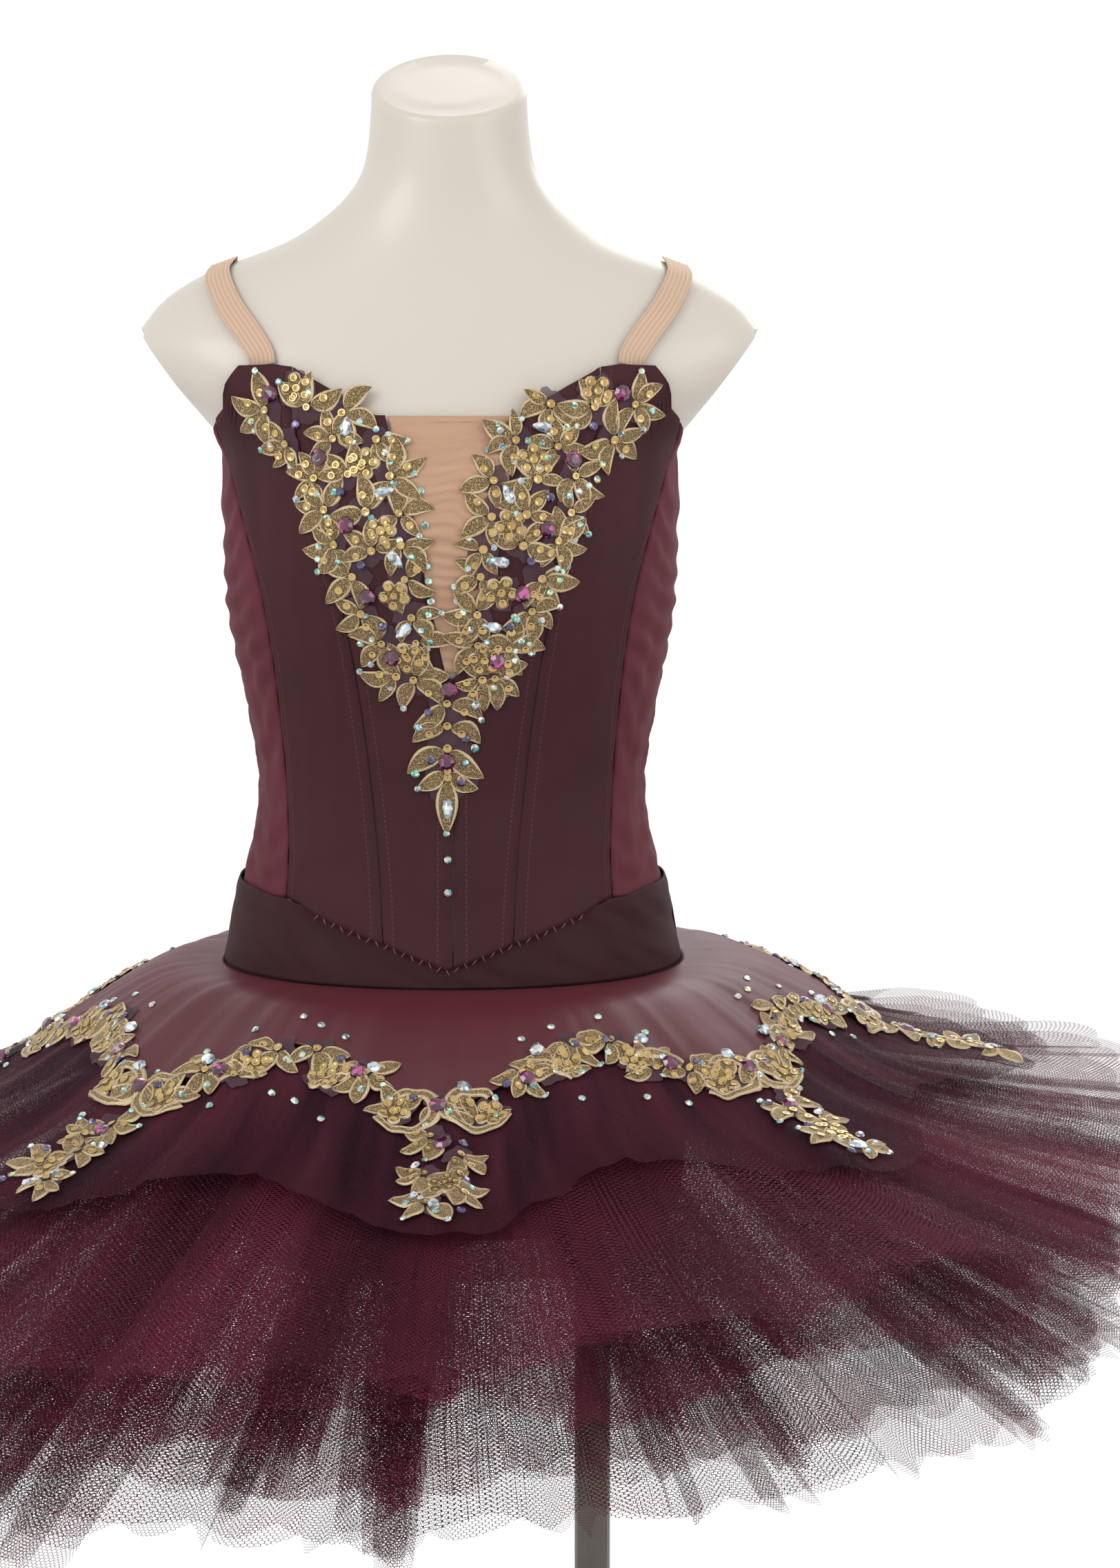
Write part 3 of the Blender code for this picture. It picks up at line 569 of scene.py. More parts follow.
def point_lift(angle, z):
    """How much further out the bodice's point lies in front, where it covers the basque."""
    place = place_round(angle, BASQUE_TOP_Z)
    across = (POINT_LIFT_ENDS - place) / (POINT_LIFT_ENDS - POINT_LIFT_FULL)
    upward = 1 - (z - waist_line(angle, 2)) / POINT_LIFT_HEIGHT
    return BODICE_POINT_LIFT * min(max(across, 0.0), 1.0) * min(max(upward, 0.0), 1.0)


def armhole_ease(z):
    """How much further out the bodice stands above the arms, where the shoulder flares."""
    share = (z - ARMHOLE_EASE_LOW_Z) / (ARMHOLE_EASE_FULL_Z - ARMHOLE_EASE_LOW_Z)
    share = min(max(share, 0.0), 1.0)
    return ARMHOLE_EASE * share * share * (3 - 2 * share)


def shirring(angle, z):
    """The soft level folds of the side and back panels, deepest under the arm."""
    drift = noise.noise(Vector((angle * 2.2, z * 9.0, 0.4)))
    level = math.sin(2 * math.pi * (z / SHIRR_PITCH + SHIRR_DRIFT * drift))
    fine = noise.noise(Vector((angle * 5.0, z * 95.0, 3.1)))
    uneven = 0.75 + 0.9 * noise.noise(Vector((angle * 3.0, z * 22.0, 7.7)))
    return SHIRR_DEPTH * (0.72 * level * uneven + 0.5 * fine)


def handling(angle, z):
    """The faint pulls and slack that a worn panel keeps."""
    return HANDLING * noise.noise(Vector((math.sin(angle) * 9.0, z * 14.0, math.cos(angle) * 9.0)))


def crowded(u):
    """Moves a grid's columns towards its two edges, where the seams are."""
    return u - PANEL_EDGE_CROWD * math.sin(2 * math.pi * u) / math.pi * 0.9


def bodice_panel(name, finish, side, start, stop, shirred):
    """A panel of the bodice between two seams, each a function from height to angle."""
    half_gap = SEAM_GAP / 2 / body_section(BASQUE_TOP_Z).half_width
    kept = {}

    def place(u, v):
        if (u, v) not in kept:
            z = (BASQUE_TOP_Z + TOP_EDGE[0].z) / 2
            for _ in range(SOLVER_STEPS):
                first, last = start(z) + half_gap, stop(z) - half_gap
                angle = first + crowded(u) * (last - first)
                low = waist_line(angle, 2)
                z = low + v * (along(TOP_EDGE, math.degrees(angle)) - low)
            wide = (last - first) * body_section(z).half_width
            kept[u, v] = (angle, z, wide)
        return kept[u, v]

    def surface(u, v):
        angle, z, wide = place(u, v)
        to_seam = min(crowded(u), 1 - crowded(u)) * wide
        out = BODICE_OUT + BODICE_CLOTH + point_lift(angle, z) + armhole_ease(z)
        out -= SEAM_DIP * math.exp(-((to_seam / SEAM_DIP_REACH) ** 2))
        out += handling(angle, z) * min(to_seam / 0.02, 1.0)
        if shirred:
            calm = min(to_seam / 0.012, 1.0) * min(v / 0.05, (1 - v) / 0.05, 1.0)
            out += shirring(angle, z) * (0.45 + 0.55 * calm)
        x, y, z = body_point(angle, z, out)
        return (side * x, y, z)

    def spread(u, v):
        _, z, wide = place(u, v)
        return (min(crowded(u), 1 - crowded(u)) * wide, z)

    bm = cloth_grid(surface, PANEL_COLUMNS, PANEL_ROWS, spread)
    face_outwards(bm)
    return thick_cloth(show(name, bm, [finish]), BODICE_CLOTH * PANEL_BACKING)


def face_outwards(bm):
    """Turns an open sheet's faces away from the body's middle line."""
    bm.normal_update()
    outward = sum(face.normal.x * face.calc_center_median().x for face in bm.faces)
    outward += sum(face.normal.y * face.calc_center_median().y for face in bm.faces)
    if outward < 0:
        bmesh.ops.reverse_faces(bm, faces=bm.faces[:])


def thick_cloth(piece, thickness):
    """Gives an open sheet its thickness, inwards from the face that shows."""
    solidify = piece.modifiers.new("cloth", "SOLIDIFY")
    solidify.thickness = thickness
    solidify.offset = -1.0
    return piece


def stretch_cloth(name, low, high, edge_line=None, sheen=0.35):
    """A matt two-way stretch cloth, with rows of stitches that far from its seams."""
    finish = Finish(name, Sheen_Weight=sheen, Sheen_Roughness=0.45, Sheen_Tint=high)
    finish.wear(Specular_IOR_Level=0.22)
    across, up = finish.cut()
    mottle = finish.grain(16.0, 5.0)
    colour = finish.mixed(mottle, low, high)
    rib = (across * 9500.0).sine() * (up * 7800.0).sine() * 0.5 + 0.5
    fuzz = finish.grain(700.0, 3.0)
    height = rib * 0.35 + fuzz * 0.65
    if edge_line:
        in_row = abs(across - edge_line) < STITCH_WIDTH
        stitch = in_row * ((up % STITCH_PITCH) < STITCH_LENGTH)
        colour = finish.mixed(stitch * 0.55, colour, dye(92, 44, 44))
        dent = abs(across - edge_line) / 0.0016
        height = height * 0.4 + dent.smaller(1.0) * 0.8 + stitch * 0.3
    finish.wear(
        Base_Color=colour,
        Roughness=finish.grain(40.0, 3.0) * 0.16 + 0.66,
        Normal=finish.raised(height, 0.00028, 0.7),
    )
    return finish


def opening_edge(side):
    """The inner edge of one front panel, from the centre seam up along the insert."""
    column = OpeningEdge._fields.index("left" if side == LEFT else "right")
    return lambda z: angle_at(along(FRONT_OPENING, z, column), z)


def princess(z):
    """The angle of the seam that runs over the bust."""
    return angle_at(smooth_along(PRINCESS_SEAM, z), z)


def side_front(z):
    """The angle of the seam in front of the armhole."""
    return angle_at(smooth_along(SIDE_FRONT_SEAM, z), z)


def side_back(z):
    """The angle of the upright seam behind the arm."""
    return SIDE_BACK_SEAM


def centre_back(z):
    """The angle of the closing."""
    return math.pi


bodice_dark = stretch_cloth("bodice_dark", dye(48, 20, 25), dye(60, 26, 31), 0.0064, 0.12)
bodice_light = stretch_cloth("bodice_side", dye(74, 27, 37), dye(90, 36, 46), 0.0050, 0.2)
for side, letter in ((LEFT, "l"), (RIGHT, "r")):
    for part, finish, slot, start, stop, shirred, flat, area in (
        ("front", bodice_dark, "bodice_dark", opening_edge(side), princess, False, (0.085, 0.335), 0.0172),
        ("cup", bodice_dark, "bodice_dark", princess, side_front, False, (0.078, 0.345), 0.0210),
        ("side", bodice_light, "bodice_side", side_front, side_back, True, (0.150, 0.290), 0.0390),
        ("back", bodice_light, "bodice_side", side_back, centre_back, True, (0.130, 0.262), 0.0320),
    ):
        piece = bodice_panel(f"bodice_{part}_{letter}_cloth", finish, side, start, stop, shirred)
        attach(piece, "root")
        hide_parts(f"bodice_{part}_{letter}")

# The front insert: nude stretch mesh, gathered level across the opening and stitched behind
# the edges of the two front panels. Its top edge is turned over a narrow elastic.
INSERT_LOW_Z = 1.1520
INSERT_TOP_Z = 1.3060
INSERT_CLOTH = 0.0010
INSERT_TUCK = 0.0004
GATHER_PITCH = 0.0072
GATHER_DEPTH = 0.00085
INSERT_TURNOVER = 0.004
INSERT_BACKING = 0.0007


def insert_surface(u, v):
    """The mesh between the opening's edges, gathered in level ridges under a plain top edge."""
    z = INSERT_LOW_Z + v * (INSERT_TOP_Z - INSERT_LOW_Z)
    right = -along(FRONT_OPENING, z, 2) + INSERT_TUCK
    left = along(FRONT_OPENING, z, 1) - INSERT_TUCK
    x = right + u * (left - right)
    drift = noise.noise(Vector((x * 16.0, z * 22.0, 1.7)))
    drift += 0.5 * noise.noise(Vector((x * 60, z * 30, 5)))
    ridge = 0.5 + 0.5 * math.sin(2 * math.pi * (z / GATHER_PITCH + 1.1 * drift))
    edge_calm = min(u / 0.12, (1 - u) / 0.12, 1.0)
    uneven = 0.4 + noise.noise(Vector((x * 9, z * 40, 9))) + 0.6
    depth = GATHER_DEPTH * ridge * (0.5 + 0.5 * edge_calm) * uneven
    if z > INSERT_TOP_Z - INSERT_TURNOVER:
        depth = GATHER_DEPTH * 1.1
    return body_point(angle_at(x, z), z, BODICE_OUT + INSERT_CLOTH + depth)


insert_bm = cloth_grid(insert_surface, 40, 150, lambda u, v: (0.07 * u, 0.19 * v))
face_outwards(insert_bm)
nude_mesh = Finish("nude_mesh", Sheen_Weight=0.25, Sheen_Tint=dye(225, 190, 160))
insert_across, insert_up = nude_mesh.cut()
mesh_rows = nude_mesh.grain(9.0, 4.0, nude_mesh.stretched(nude_mesh.place(), (1.0, 1.0, 14.0)))
mesh_holes = (insert_across * 6200.0).sine() * (insert_up * 6200.0).sine() * 0.5 + 0.5
nude_mesh.wear(
    Base_Color=nude_mesh.mixed(mesh_rows, dye(148, 112, 88), dye(182, 146, 120)),
    Roughness=nude_mesh.grain(50.0) * 0.2 + 0.55,
    Normal=nude_mesh.raised(mesh_holes * 0.6 + mesh_rows * 0.4, 0.0003, 0.5),
)
insert = thick_cloth(show("insert_cloth", insert_bm, [nude_mesh]), INSERT_BACKING)
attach(insert, "root")
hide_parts("bodice_insert")

# The shoulder straps: flat nude elastic, 16 mm wide, with raised lengthwise ribs. Each is sewn
# behind the bodice's edge in front and at the back, and lies flat over the shoulder.
STRAP_WIDTH = 0.016
STRAP_OUT = 0.0012
ELASTIC = 0.0015
ELASTIC_RIBS = 6
RIB_HEIGHT = 0.0004
ELASTIC_BACKING = 0.0010
StrapPoint = namedtuple("StrapPoint", "x z behind")
STRAP = [
    StrapPoint(0.1105, 1.3345, False),
    StrapPoint(0.1120, 1.3420, False),
    StrapPoint(0.1205, 1.3545, False),
    StrapPoint(0.1300, 1.3670, False),
    StrapPoint(0.1365, 1.3780, False),
    StrapPoint(0.1405, 1.3880, False),
    StrapPoint(0.1405, 1.3940, False),
    StrapPoint(0.1405, 1.3895, True),
    StrapPoint(0.1380, 1.3750, True),
    StrapPoint(0.1310, 1.3500, True),
    StrapPoint(0.1200, 1.3200, True),
    StrapPoint(0.1080, 1.2900, True),
    StrapPoint(0.0985, 1.2640, True),
    StrapPoint(0.0970, 1.2535, True),
]
STRAP_LENGTH = 0.300
strap_spots = []
for row in STRAP:
    angle = angle_at(row.x, row.z)
    strap_spots.append(Vector(body_point(math.pi - angle if row.behind else angle, row.z)))


def strap_normal(row):
    """Square to the shoulder at one of the strap's points."""
    angle = angle_at(row.x, row.z)
    angle = math.pi - angle if row.behind else angle
    here = Vector(body_point(angle, row.z))
    round_way = Vector(body_point(angle + 0.002, row.z)) - here
    up_way = Vector(body_point(angle, row.z + 0.002)) - here
    return round_way.cross(up_way).normalized()


strap_normals = [strap_normal(row) for row in STRAP]


def on_curve(points, place):
    """A point on the smooth curve through a list of points."""
    place = min(max(place, 0.0), len(points) - 1.0)
    index = min(int(place), len(points) - 2)
    share = place - index
    before, after = points[max(index - 1, 0)], points[min(index + 2, len(points) - 1)]
    low, high = points[index], points[index + 1]
    start, end = (high - before) / 2, (after - low) / 2
    rise = high - low
    bend = start + end - 2 * rise
    return low + share * (start + share * (3 * rise - 2 * start - end + share * bend))


def strap_surface(side):
    """The strap's ribbed face, on one side of the body."""
    def surface(u, v):
        place = v * (len(STRAP) - 1)
        ahead = on_curve(strap_spots, place + 0.1) - on_curve(strap_spots, place - 0.1)
        up = on_curve(strap_normals, place).normalized()
        across = ahead.cross(up).normalized()
        rib = 0.5 + 0.5 * math.cos(2 * math.pi * ELASTIC_RIBS * u)
        out = STRAP_OUT + ELASTIC - RIB_HEIGHT + RIB_HEIGHT * rib
        spot = on_curve(strap_spots, place) + across * STRAP_WIDTH * (u - 0.5) + up * out
        return (side * spot.x, spot.y, spot.z)

    return surface


elastic = Finish("nude_elastic", Sheen_Weight=0.2, Sheen_Tint=dye(230, 200, 170))
elastic_across, elastic_up = elastic.cut()
# Painted shade: the elastic is lighter on its ribs and darker in their grooves, over a real fine weave.
painted_rib_shade = (elastic_across * (2 * math.pi * ELASTIC_RIBS / STRAP_WIDTH)).cosine() * 0.5 + 0.5
elastic_weave = (elastic_up * 7000.0).sine() * 0.5 + 0.5
elastic.wear(
    Base_Color=elastic.mixed(
        painted_rib_shade * 0.5 + elastic_weave * 0.3, dye(172, 142, 118), dye(196, 170, 148)
    ),
    Roughness=elastic.grain(60.0) * 0.2 + 0.55,
    Normal=elastic.raised(elastic_weave, 0.00015, 0.6),
)
for side, letter in ((LEFT, "l"), (RIGHT, "r")):
    strap_bm = cloth_grid(
        strap_surface(side), 48, 130, lambda u, v: (STRAP_WIDTH * u, STRAP_LENGTH * v)
    )
    strap_bm.normal_update()
    middle = max(strap_bm.faces, key=lambda face: face.calc_center_median().z)
    if middle.normal.z < 0:
        bmesh.ops.reverse_faces(strap_bm, faces=strap_bm.faces[:])
    strap = thick_cloth(show(f"strap_{letter}_elastic", strap_bm, [elastic]), ELASTIC_BACKING)
    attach(strap, "root")
    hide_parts(f"strap_{letter}")

# The basque: a smooth stretch yoke from the waist to the hip, in two halves that meet at the
# side seams. In front the bodice's point lies over it, and it is pulled in soft slanting folds.
BasqueEase = namedtuple("BasqueEase", "place out")
BASQUE_TOP_EASE = [BasqueEase(0.085, 0.0005), BasqueEase(0.095, 0.0036)]
BASQUE_HEM_OUT = 0.0030
BASQUE_CLOTH = 0.0013
BASQUE_TUCK = 0.0015
BASQUE_TUCK_ENDS = 0.106
BASQUE_PULL = 0.0024
BASQUE_TUCK_FADE = 0.008
BASQUE_BACKING = 0.0010
HIP_SEAM_Z = 0.9605
BASQUE_COLUMNS = 150
BASQUE_ROWS = 28


def basque_surface(start, span):
    """One half of the yoke, with its slanting folds."""
    def surface(u, v):
        angle = start + u * span
        top = waist_line(angle, 3)
        place = place_round(angle, BASQUE_TOP_Z)
        top += BASQUE_TUCK * min(max((BASQUE_TUCK_ENDS - place) / BASQUE_TUCK_FADE, 0.0), 1.0)
        z = HIP_SEAM_Z + v * (top - HIP_SEAM_Z)
        top_out = along(BASQUE_TOP_EASE, place_round(angle, BASQUE_TOP_Z))
        out = BASQUE_HEM_OUT + v * (top_out - BASQUE_HEM_OUT) + BASQUE_CLOTH
        slant = math.sin(angle) * 9.0 * math.copysign(1.0, math.cos(angle)) + z * 60.0
        pull = noise.noise(Vector((abs(slant), z * 30.0, 2.0)))
        calm = min(v / 0.25, 1.0) * min((1 - v) / 0.15, 1.0)
        covered = 1.0 - min(max((0.078 - place_round(angle, BASQUE_TOP_Z)) / 0.02, 0.0), 1.0) * v
        return body_point(angle, z, out + BASQUE_PULL * pull * calm * covered)

    return surface


basque_cloth = stretch_cloth("basque_cloth", dye(42, 15, 19), dye(52, 20, 25), sheen=0.12)
half_seam_gap = SEAM_GAP / 2 / body_section(BASQUE_TOP_Z).half_width
for half, start, area in (("front", -math.pi / 2, 0.0175), ("back", math.pi / 2, 0.0212)):
    basque_bm = cloth_grid(
        basque_surface(start + half_seam_gap, math.pi - 2 * half_seam_gap),
        BASQUE_COLUMNS,
        BASQUE_ROWS,
        lambda u, v: (0.42 * u, 0.05 * v),
    )
    face_outwards(basque_bm)
    basque = thick_cloth(show(f"basque_{half}_cloth", basque_bm, [basque_cloth]), BASQUE_BACKING)
    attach(basque, "root")
    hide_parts(f"basque_{half}")

# The knickers: a plain stretch tube that carries the rows of net, hidden under the skirt.
KNICKERS_OUT = 0.0020
KNICKERS_CLOTH = 0.0010
KNICKERS_HEM_Z = 0.800
KNICKERS_BACKING = 0.0008


def knickers_surface(u, v):
    """The tube round the hip, a little slack."""
    z = KNICKERS_HEM_Z + v * (HIP_SEAM_Z - SEAM_GAP - KNICKERS_HEM_Z)
    angle = 2 * math.pi * u
    slack = 0.0006 * noise.noise(Vector((math.sin(angle) * 6, math.cos(angle) * 6, z * 25)))
    return body_point(angle, z, KNICKERS_OUT + KNICKERS_CLOTH + slack)


knickers_bm = cloth_grid(knickers_surface, 120, 40, lambda u, v: (0.84 * u, 0.16 * v))
face_outwards(knickers_bm)
knickers = thick_cloth(show("knickers_cloth", knickers_bm, [basque_cloth]), KNICKERS_BACKING)
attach(knickers, "root")
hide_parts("knickers")

# The top plate: smooth burgundy satin, cut in eight shallow points and eased on at the hip
# seam, so that soft folds run out from it. The edge lies under the gold lace.
PlateRow = namedtuple("PlateRow", "run z net_drop")
PLATE_PROFILE = [
    PlateRow(0.000, 0.9595, 0.0027),
    PlateRow(0.040, 0.9570, 0.0038),
    PlateRow(0.080, 0.9380, 0.0045),
    PlateRow(0.118, 0.9150, 0.0045),
    PlateRow(0.144, 0.9020, 0.0045),
    PlateRow(0.178, 0.8910, 0.0045),
    PlateRow(0.215, 0.8800, 0.0045),
    PlateRow(0.260, 0.8635, 0.0045),
]
PLATE_SEWN_Z = 0.9545
SKIRT_OUT = KNICKERS_OUT + KNICKERS_CLOTH + SEAM_GAP
SKIRT_TILT = 0.070
RIM_RADIUS = 0.475
POINTS = 8
SATIN_EDGE = 0.092
SATIN_SCALLOP = 0.018
SATIN_COLUMNS = 320
SATIN_ROWS = 34
PLATE_FOLD = 0.0019
FOLD_START = 0.05
FOLD_FULL = 0.2
FOLD_GROWTH = 1.9
PLEAT_START = 0.12
SATIN_BACKING = 0.0008


def skirt_spot(angle, share, rim_radius, sewn_z):
    """The plan place of a share of the way from the hip to a round rim, and the whole way."""
    hip_x, hip_y, _ = body_point(angle, sewn_z, SKIRT_OUT)
    across = rim_radius * math.sin(angle) - hip_x
    ahead = -rim_radius * math.cos(angle) - hip_y
    return hip_x + share * across, hip_y + share * ahead, math.hypot(across, ahead)


def plate_fold(angle, run):
    """The height of the soft folds that run out from the hip over both plates."""
    reach = min(run / FOLD_START, 1.0) * (1.0 + FOLD_GROWTH * min(run / FOLD_FULL, 1.0) ** 1.5)
    broad = noise.noise(Vector((math.sin(angle) * 4.5, math.cos(angle) * 4.5, run * 5.0)))
    narrow = noise.noise(Vector((math.sin(angle) * 11.0, math.cos(angle) * 11.0, 4.0 + run * 4.0)))
    pleat = noise.noise(Vector((math.sin(angle) * 26.0, math.cos(angle) * 26.0, 9.0 + run * 3.0)))
    grown = min(run / PLEAT_START, 1.0)
    return PLATE_FOLD * reach * (0.9 * broad + 0.8 * narrow + 0.9 * pleat * grown)


def plate_point(angle, run, lift=0.0):
    """A point so far out from the hip on the plates' surface, lifted off its top face."""
    _, _, length = skirt_spot(angle, 0.0, RIM_RADIUS, PLATE_SEWN_Z)
    share = run / length
    x, y, _ = skirt_spot(angle, share, RIM_RADIUS, PLATE_SEWN_Z)
    z = smooth_along(PLATE_PROFILE, run) + lift + SKIRT_TILT * x * share + plate_fold(angle, run)
    return (x, y, z)


def satin_surface(u, v):
    """The satin, out to its pointed edge."""
    edge = SATIN_EDGE + SATIN_SCALLOP * math.cos(POINTS * 2 * math.pi * u)
    return plate_point(2 * math.pi * u, v * edge)


def face_up(bm):
    """Turns an open sheet's faces upwards."""
    bm.normal_update()
    if sum(face.normal.z * face.calc_area() for face in bm.faces) < 0:
        bmesh.ops.reverse_faces(bm, faces=bm.faces[:])


satin = Finish("satin", Sheen_Weight=0.15, Sheen_Tint=dye(150, 80, 95), Anisotropic=0.5)
satin_warp = satin.grain(1.0, 4.0, satin.stretched(satin.cut_place(), (2600.0, 90.0, 1.0)))
satin.wear(
    Specular_IOR_Level=0.35,
    Base_Color=satin.mixed(satin.grain(9.0, 4.0), dye(68, 24, 31), dye(82, 31, 39)),
    Roughness=satin.grain(30.0, 3.0) * 0.10 + 0.42,
    Normal=satin.raised(satin_warp, 0.00006, 0.6),
)
satin_bm = cloth_grid(satin_surface, SATIN_COLUMNS, SATIN_ROWS, lambda u, v: (1.2 * u, 0.11 * v))
face_up(satin_bm)
satin_plate = thick_cloth(show("plate_satin_cloth", satin_bm, [satin]), SATIN_BACKING)
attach(satin_plate, "root")
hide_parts("plate_satin")

# The net plate: two plies of fine plum net under the satin, cut in longer points that show
# past it and carry the tips of the lace.
NET_EDGE = 0.195
NET_SCALLOP = 0.030
PLATE_CUT = 0.2
PLATE_FADE = 0.090
PLATE_RAGGED = (0.007, 0.004)
FINE_CELL = 0.0012
FINE_STRAND = 0.3
NET_CELL = 0.0023
NET_STRAND = 0.14


def net_cloth(name, low, high, cell, strand, fringe=None, solid=None, fold_shade_streaks=(14.0, 3.0, 1.0)):
    """Hexagonal net, see-through between its threads. fringe is a lobed hem's width and depth.

    solid gives how far many plies close the net, at a distance along its cut. The colour runs from low to
    high in long streaks that run outwards, painted shade and light of the net's folds.
    """
    finish = Finish(name, Roughness=0.8, Sheen_Weight=0.08, Sheen_Tint=high)
    finish.wear(Specular_IOR_Level=0.1)
    across, out = finish.cut()
    row_height = math.sqrt(3)

    def nearest(shift):
        a = (across / cell + shift) % 1.0 - 0.5
        b = (out / cell + shift * row_height) % row_height - row_height / 2
        return abs(a), abs(b)

    (ax, ay), (bx, by) = nearest(0.0), nearest(0.5)
    closer = (ax * ax + ay * ay) < (bx * bx + by * by)
    hex_x = bx + (ax - bx) * closer
    hex_y = by + (ay - by) * closer
    to_edge = (hex_x * 0.5 + hex_y * (row_height / 2)).larger(hex_x)
    thread = to_edge > (0.5 - strand / 2)
    alpha = thread.larger(solid(out)) if solid else thread
    if fringe:
        width, depth = fringe
        lobe = abs((across * (math.pi / width)).sine())
        alpha = alpha * (out > (1 - lobe) * depth)
    # Painted shade: the colour darkens and lightens in radial streaks, like shade and light on the net's
    # folds.
    painted_fold_shade = finish.grain(1.0, 3.0, finish.stretched(finish.cut_place(), fold_shade_streaks))
    shade = (painted_fold_shade * 3.0 - 1.0).smaller(1.0).larger(0.0)
    finish.wear(Base_Color=finish.mixed(shade, low, high), Alpha=alpha)
    return finish


def net_plate_surface(drop):
    """The net plate, so far below its own level, out to its ragged points."""
    def surface(u, v):
        angle = 2 * math.pi * u
        edge = NET_EDGE + NET_SCALLOP * math.cos(POINTS * angle)
        ragged = Vector((math.sin(angle) * 6, math.cos(angle) * 6, 2.0))
        edge += PLATE_RAGGED[0] * noise.noise(ragged) + PLATE_RAGGED[1] * noise.noise(ragged * 4)
        run = v * edge
        lower = smooth_along(PLATE_PROFILE, run, 2) + drop
        return plate_point(angle, run, -lower)

    return surface


def plate_opacity(out):
    """The plies close up near the hip and thin out over the last stretch to the edge."""
    return ((PLATE_CUT - out) / PLATE_FADE).smaller(1.0).larger(0.0) * 0.90 + 0.08


# The plum net's two colours are the dark and light ends of its painted fold shade, in finer streaks.
plum_net = net_cloth(
    "plum_net",
    dye(32, 9, 19),
    dye(66, 26, 38),
    FINE_CELL,
    FINE_STRAND,
    solid=plate_opacity,
    fold_shade_streaks=(30.0, 5.0, 1.0),
)
plate_bm = cloth_grid(net_plate_surface(0.0), 320, 60, lambda u, v: (2.2 * u, PLATE_CUT * v))
face_up(plate_bm)
net_plate = show("plate_net_cloth", plate_bm, [plum_net])
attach(net_plate, "root")
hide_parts("plate_net")

# The skirt's net: four layers sewn round the knickers one below another, each of three plies
# of hexagonal nylon net, or of two in the lowest. The strips are far longer than the hip, so
# they lie in deep folds that open towards the lobed hem.
NetLayer = namedtuple("NetLayer", "rim_radius side_droop seed plies")
NET_LAYERS = [
    NetLayer(0.475, 0.000, 11, 3),
    NetLayer(0.468, 0.010, 23, 3),
    NetLayer(0.455, 0.020, 37, 3),
    NetLayer(0.440, 0.030, 53, 2),
]
NetRow = namedtuple("NetRow", "share z")
NET_PROFILE = [NetRow(0.00, 0.938), NetRow(0.45, 0.874), NetRow(1.00, 0.826)]
LAYER_STEP_AT_SEAM = 0.015
LAYER_STEP_AT_RIM = 0.035
STRIP_LENGTH = 3.4
STRIP_DEPTH = 0.345
PLY_COLUMNS = 512
PLY_ROWS = 24
PLY_STEP = 0.0045
HEM_LOBE = (0.042, 0.013)
FOLD_COUNTS = (13, 22, 35, 57)
FOLD_HEIGHTS = (0.0092, 0.0066, 0.0030, 0.0010)
FOLD_OVERLAPS = (1.3, 1.8, 1.7, 1.3)
SHARED_FOLDS = 2
SHORTER_MOST = 0.022
SHORTER_STEP = 0.006
RAGGED_HEM = 0.006
STRIP_SHIFT = 0.0137


def net_ply(layer_number, cut, ply):
    """One ply's surface. Its folds swing round as well as up and down, so they overlap.

    The broad folds run through all plies of a layer, and the narrow ones are each ply's own.
    """
    shared, luck = random.Random(cut.seed), random.Random(cut.seed + 7 * ply + 1)
    waves = []
    for index, (count, height, overlap) in enumerate(zip(FOLD_COUNTS, FOLD_HEIGHTS, FOLD_OVERLAPS)):
        luck_here = shared if index < SHARED_FOLDS else luck
        phase = luck_here.uniform(0, 2 * math.pi) + luck.uniform(-0.5, 0.5)
        waves.append(
            (count + luck_here.randint(-2, 2), height * luck_here.uniform(0.8, 1.2), overlap, phase)
        )
    hem_phases = [luck.uniform(0, 2 * math.pi) for _ in range(3)]
    shorter = luck.uniform(0.0, SHORTER_MOST) + SHORTER_STEP * ply

    def surface(u, v):
        strip = 2 * math.pi * u
        share = v
        angle, lift = strip, 0.0
        for count, height, overlap, phase in waves:
            swell = 0.65 + 0.5 * math.sin(3 * strip + phase * 2.3)
            opening = 1.35 - 0.65 * share
            angle += overlap * swell * opening / count * math.sin(count * strip + phase)
            lift += height * swell * (0.25 + 0.95 * share) * math.cos(count * strip + phase)
        ragged = sum(math.sin(n * strip + p) for n, p in zip((5, 9, 16), hem_phases)) / 3
        rim_radius = cut.rim_radius - shorter * share + RAGGED_HEM * ragged * share
        sewn_z = NET_PROFILE[0].z - layer_number * LAYER_STEP_AT_SEAM
        step = LAYER_STEP_AT_SEAM + share * (LAYER_STEP_AT_RIM - LAYER_STEP_AT_SEAM)
        x, y, _ = skirt_spot(angle, share, rim_radius, sewn_z)
        droop = cut.side_droop * math.sin(angle) ** 2 * share**2
        z = smooth_along(NET_PROFILE, share) - layer_number * step + SKIRT_TILT * x * share
        z += lift - droop + (1 - ply) * PLY_STEP * (0.3 + 0.7 * share)
        return (x, y, z)

    return surface


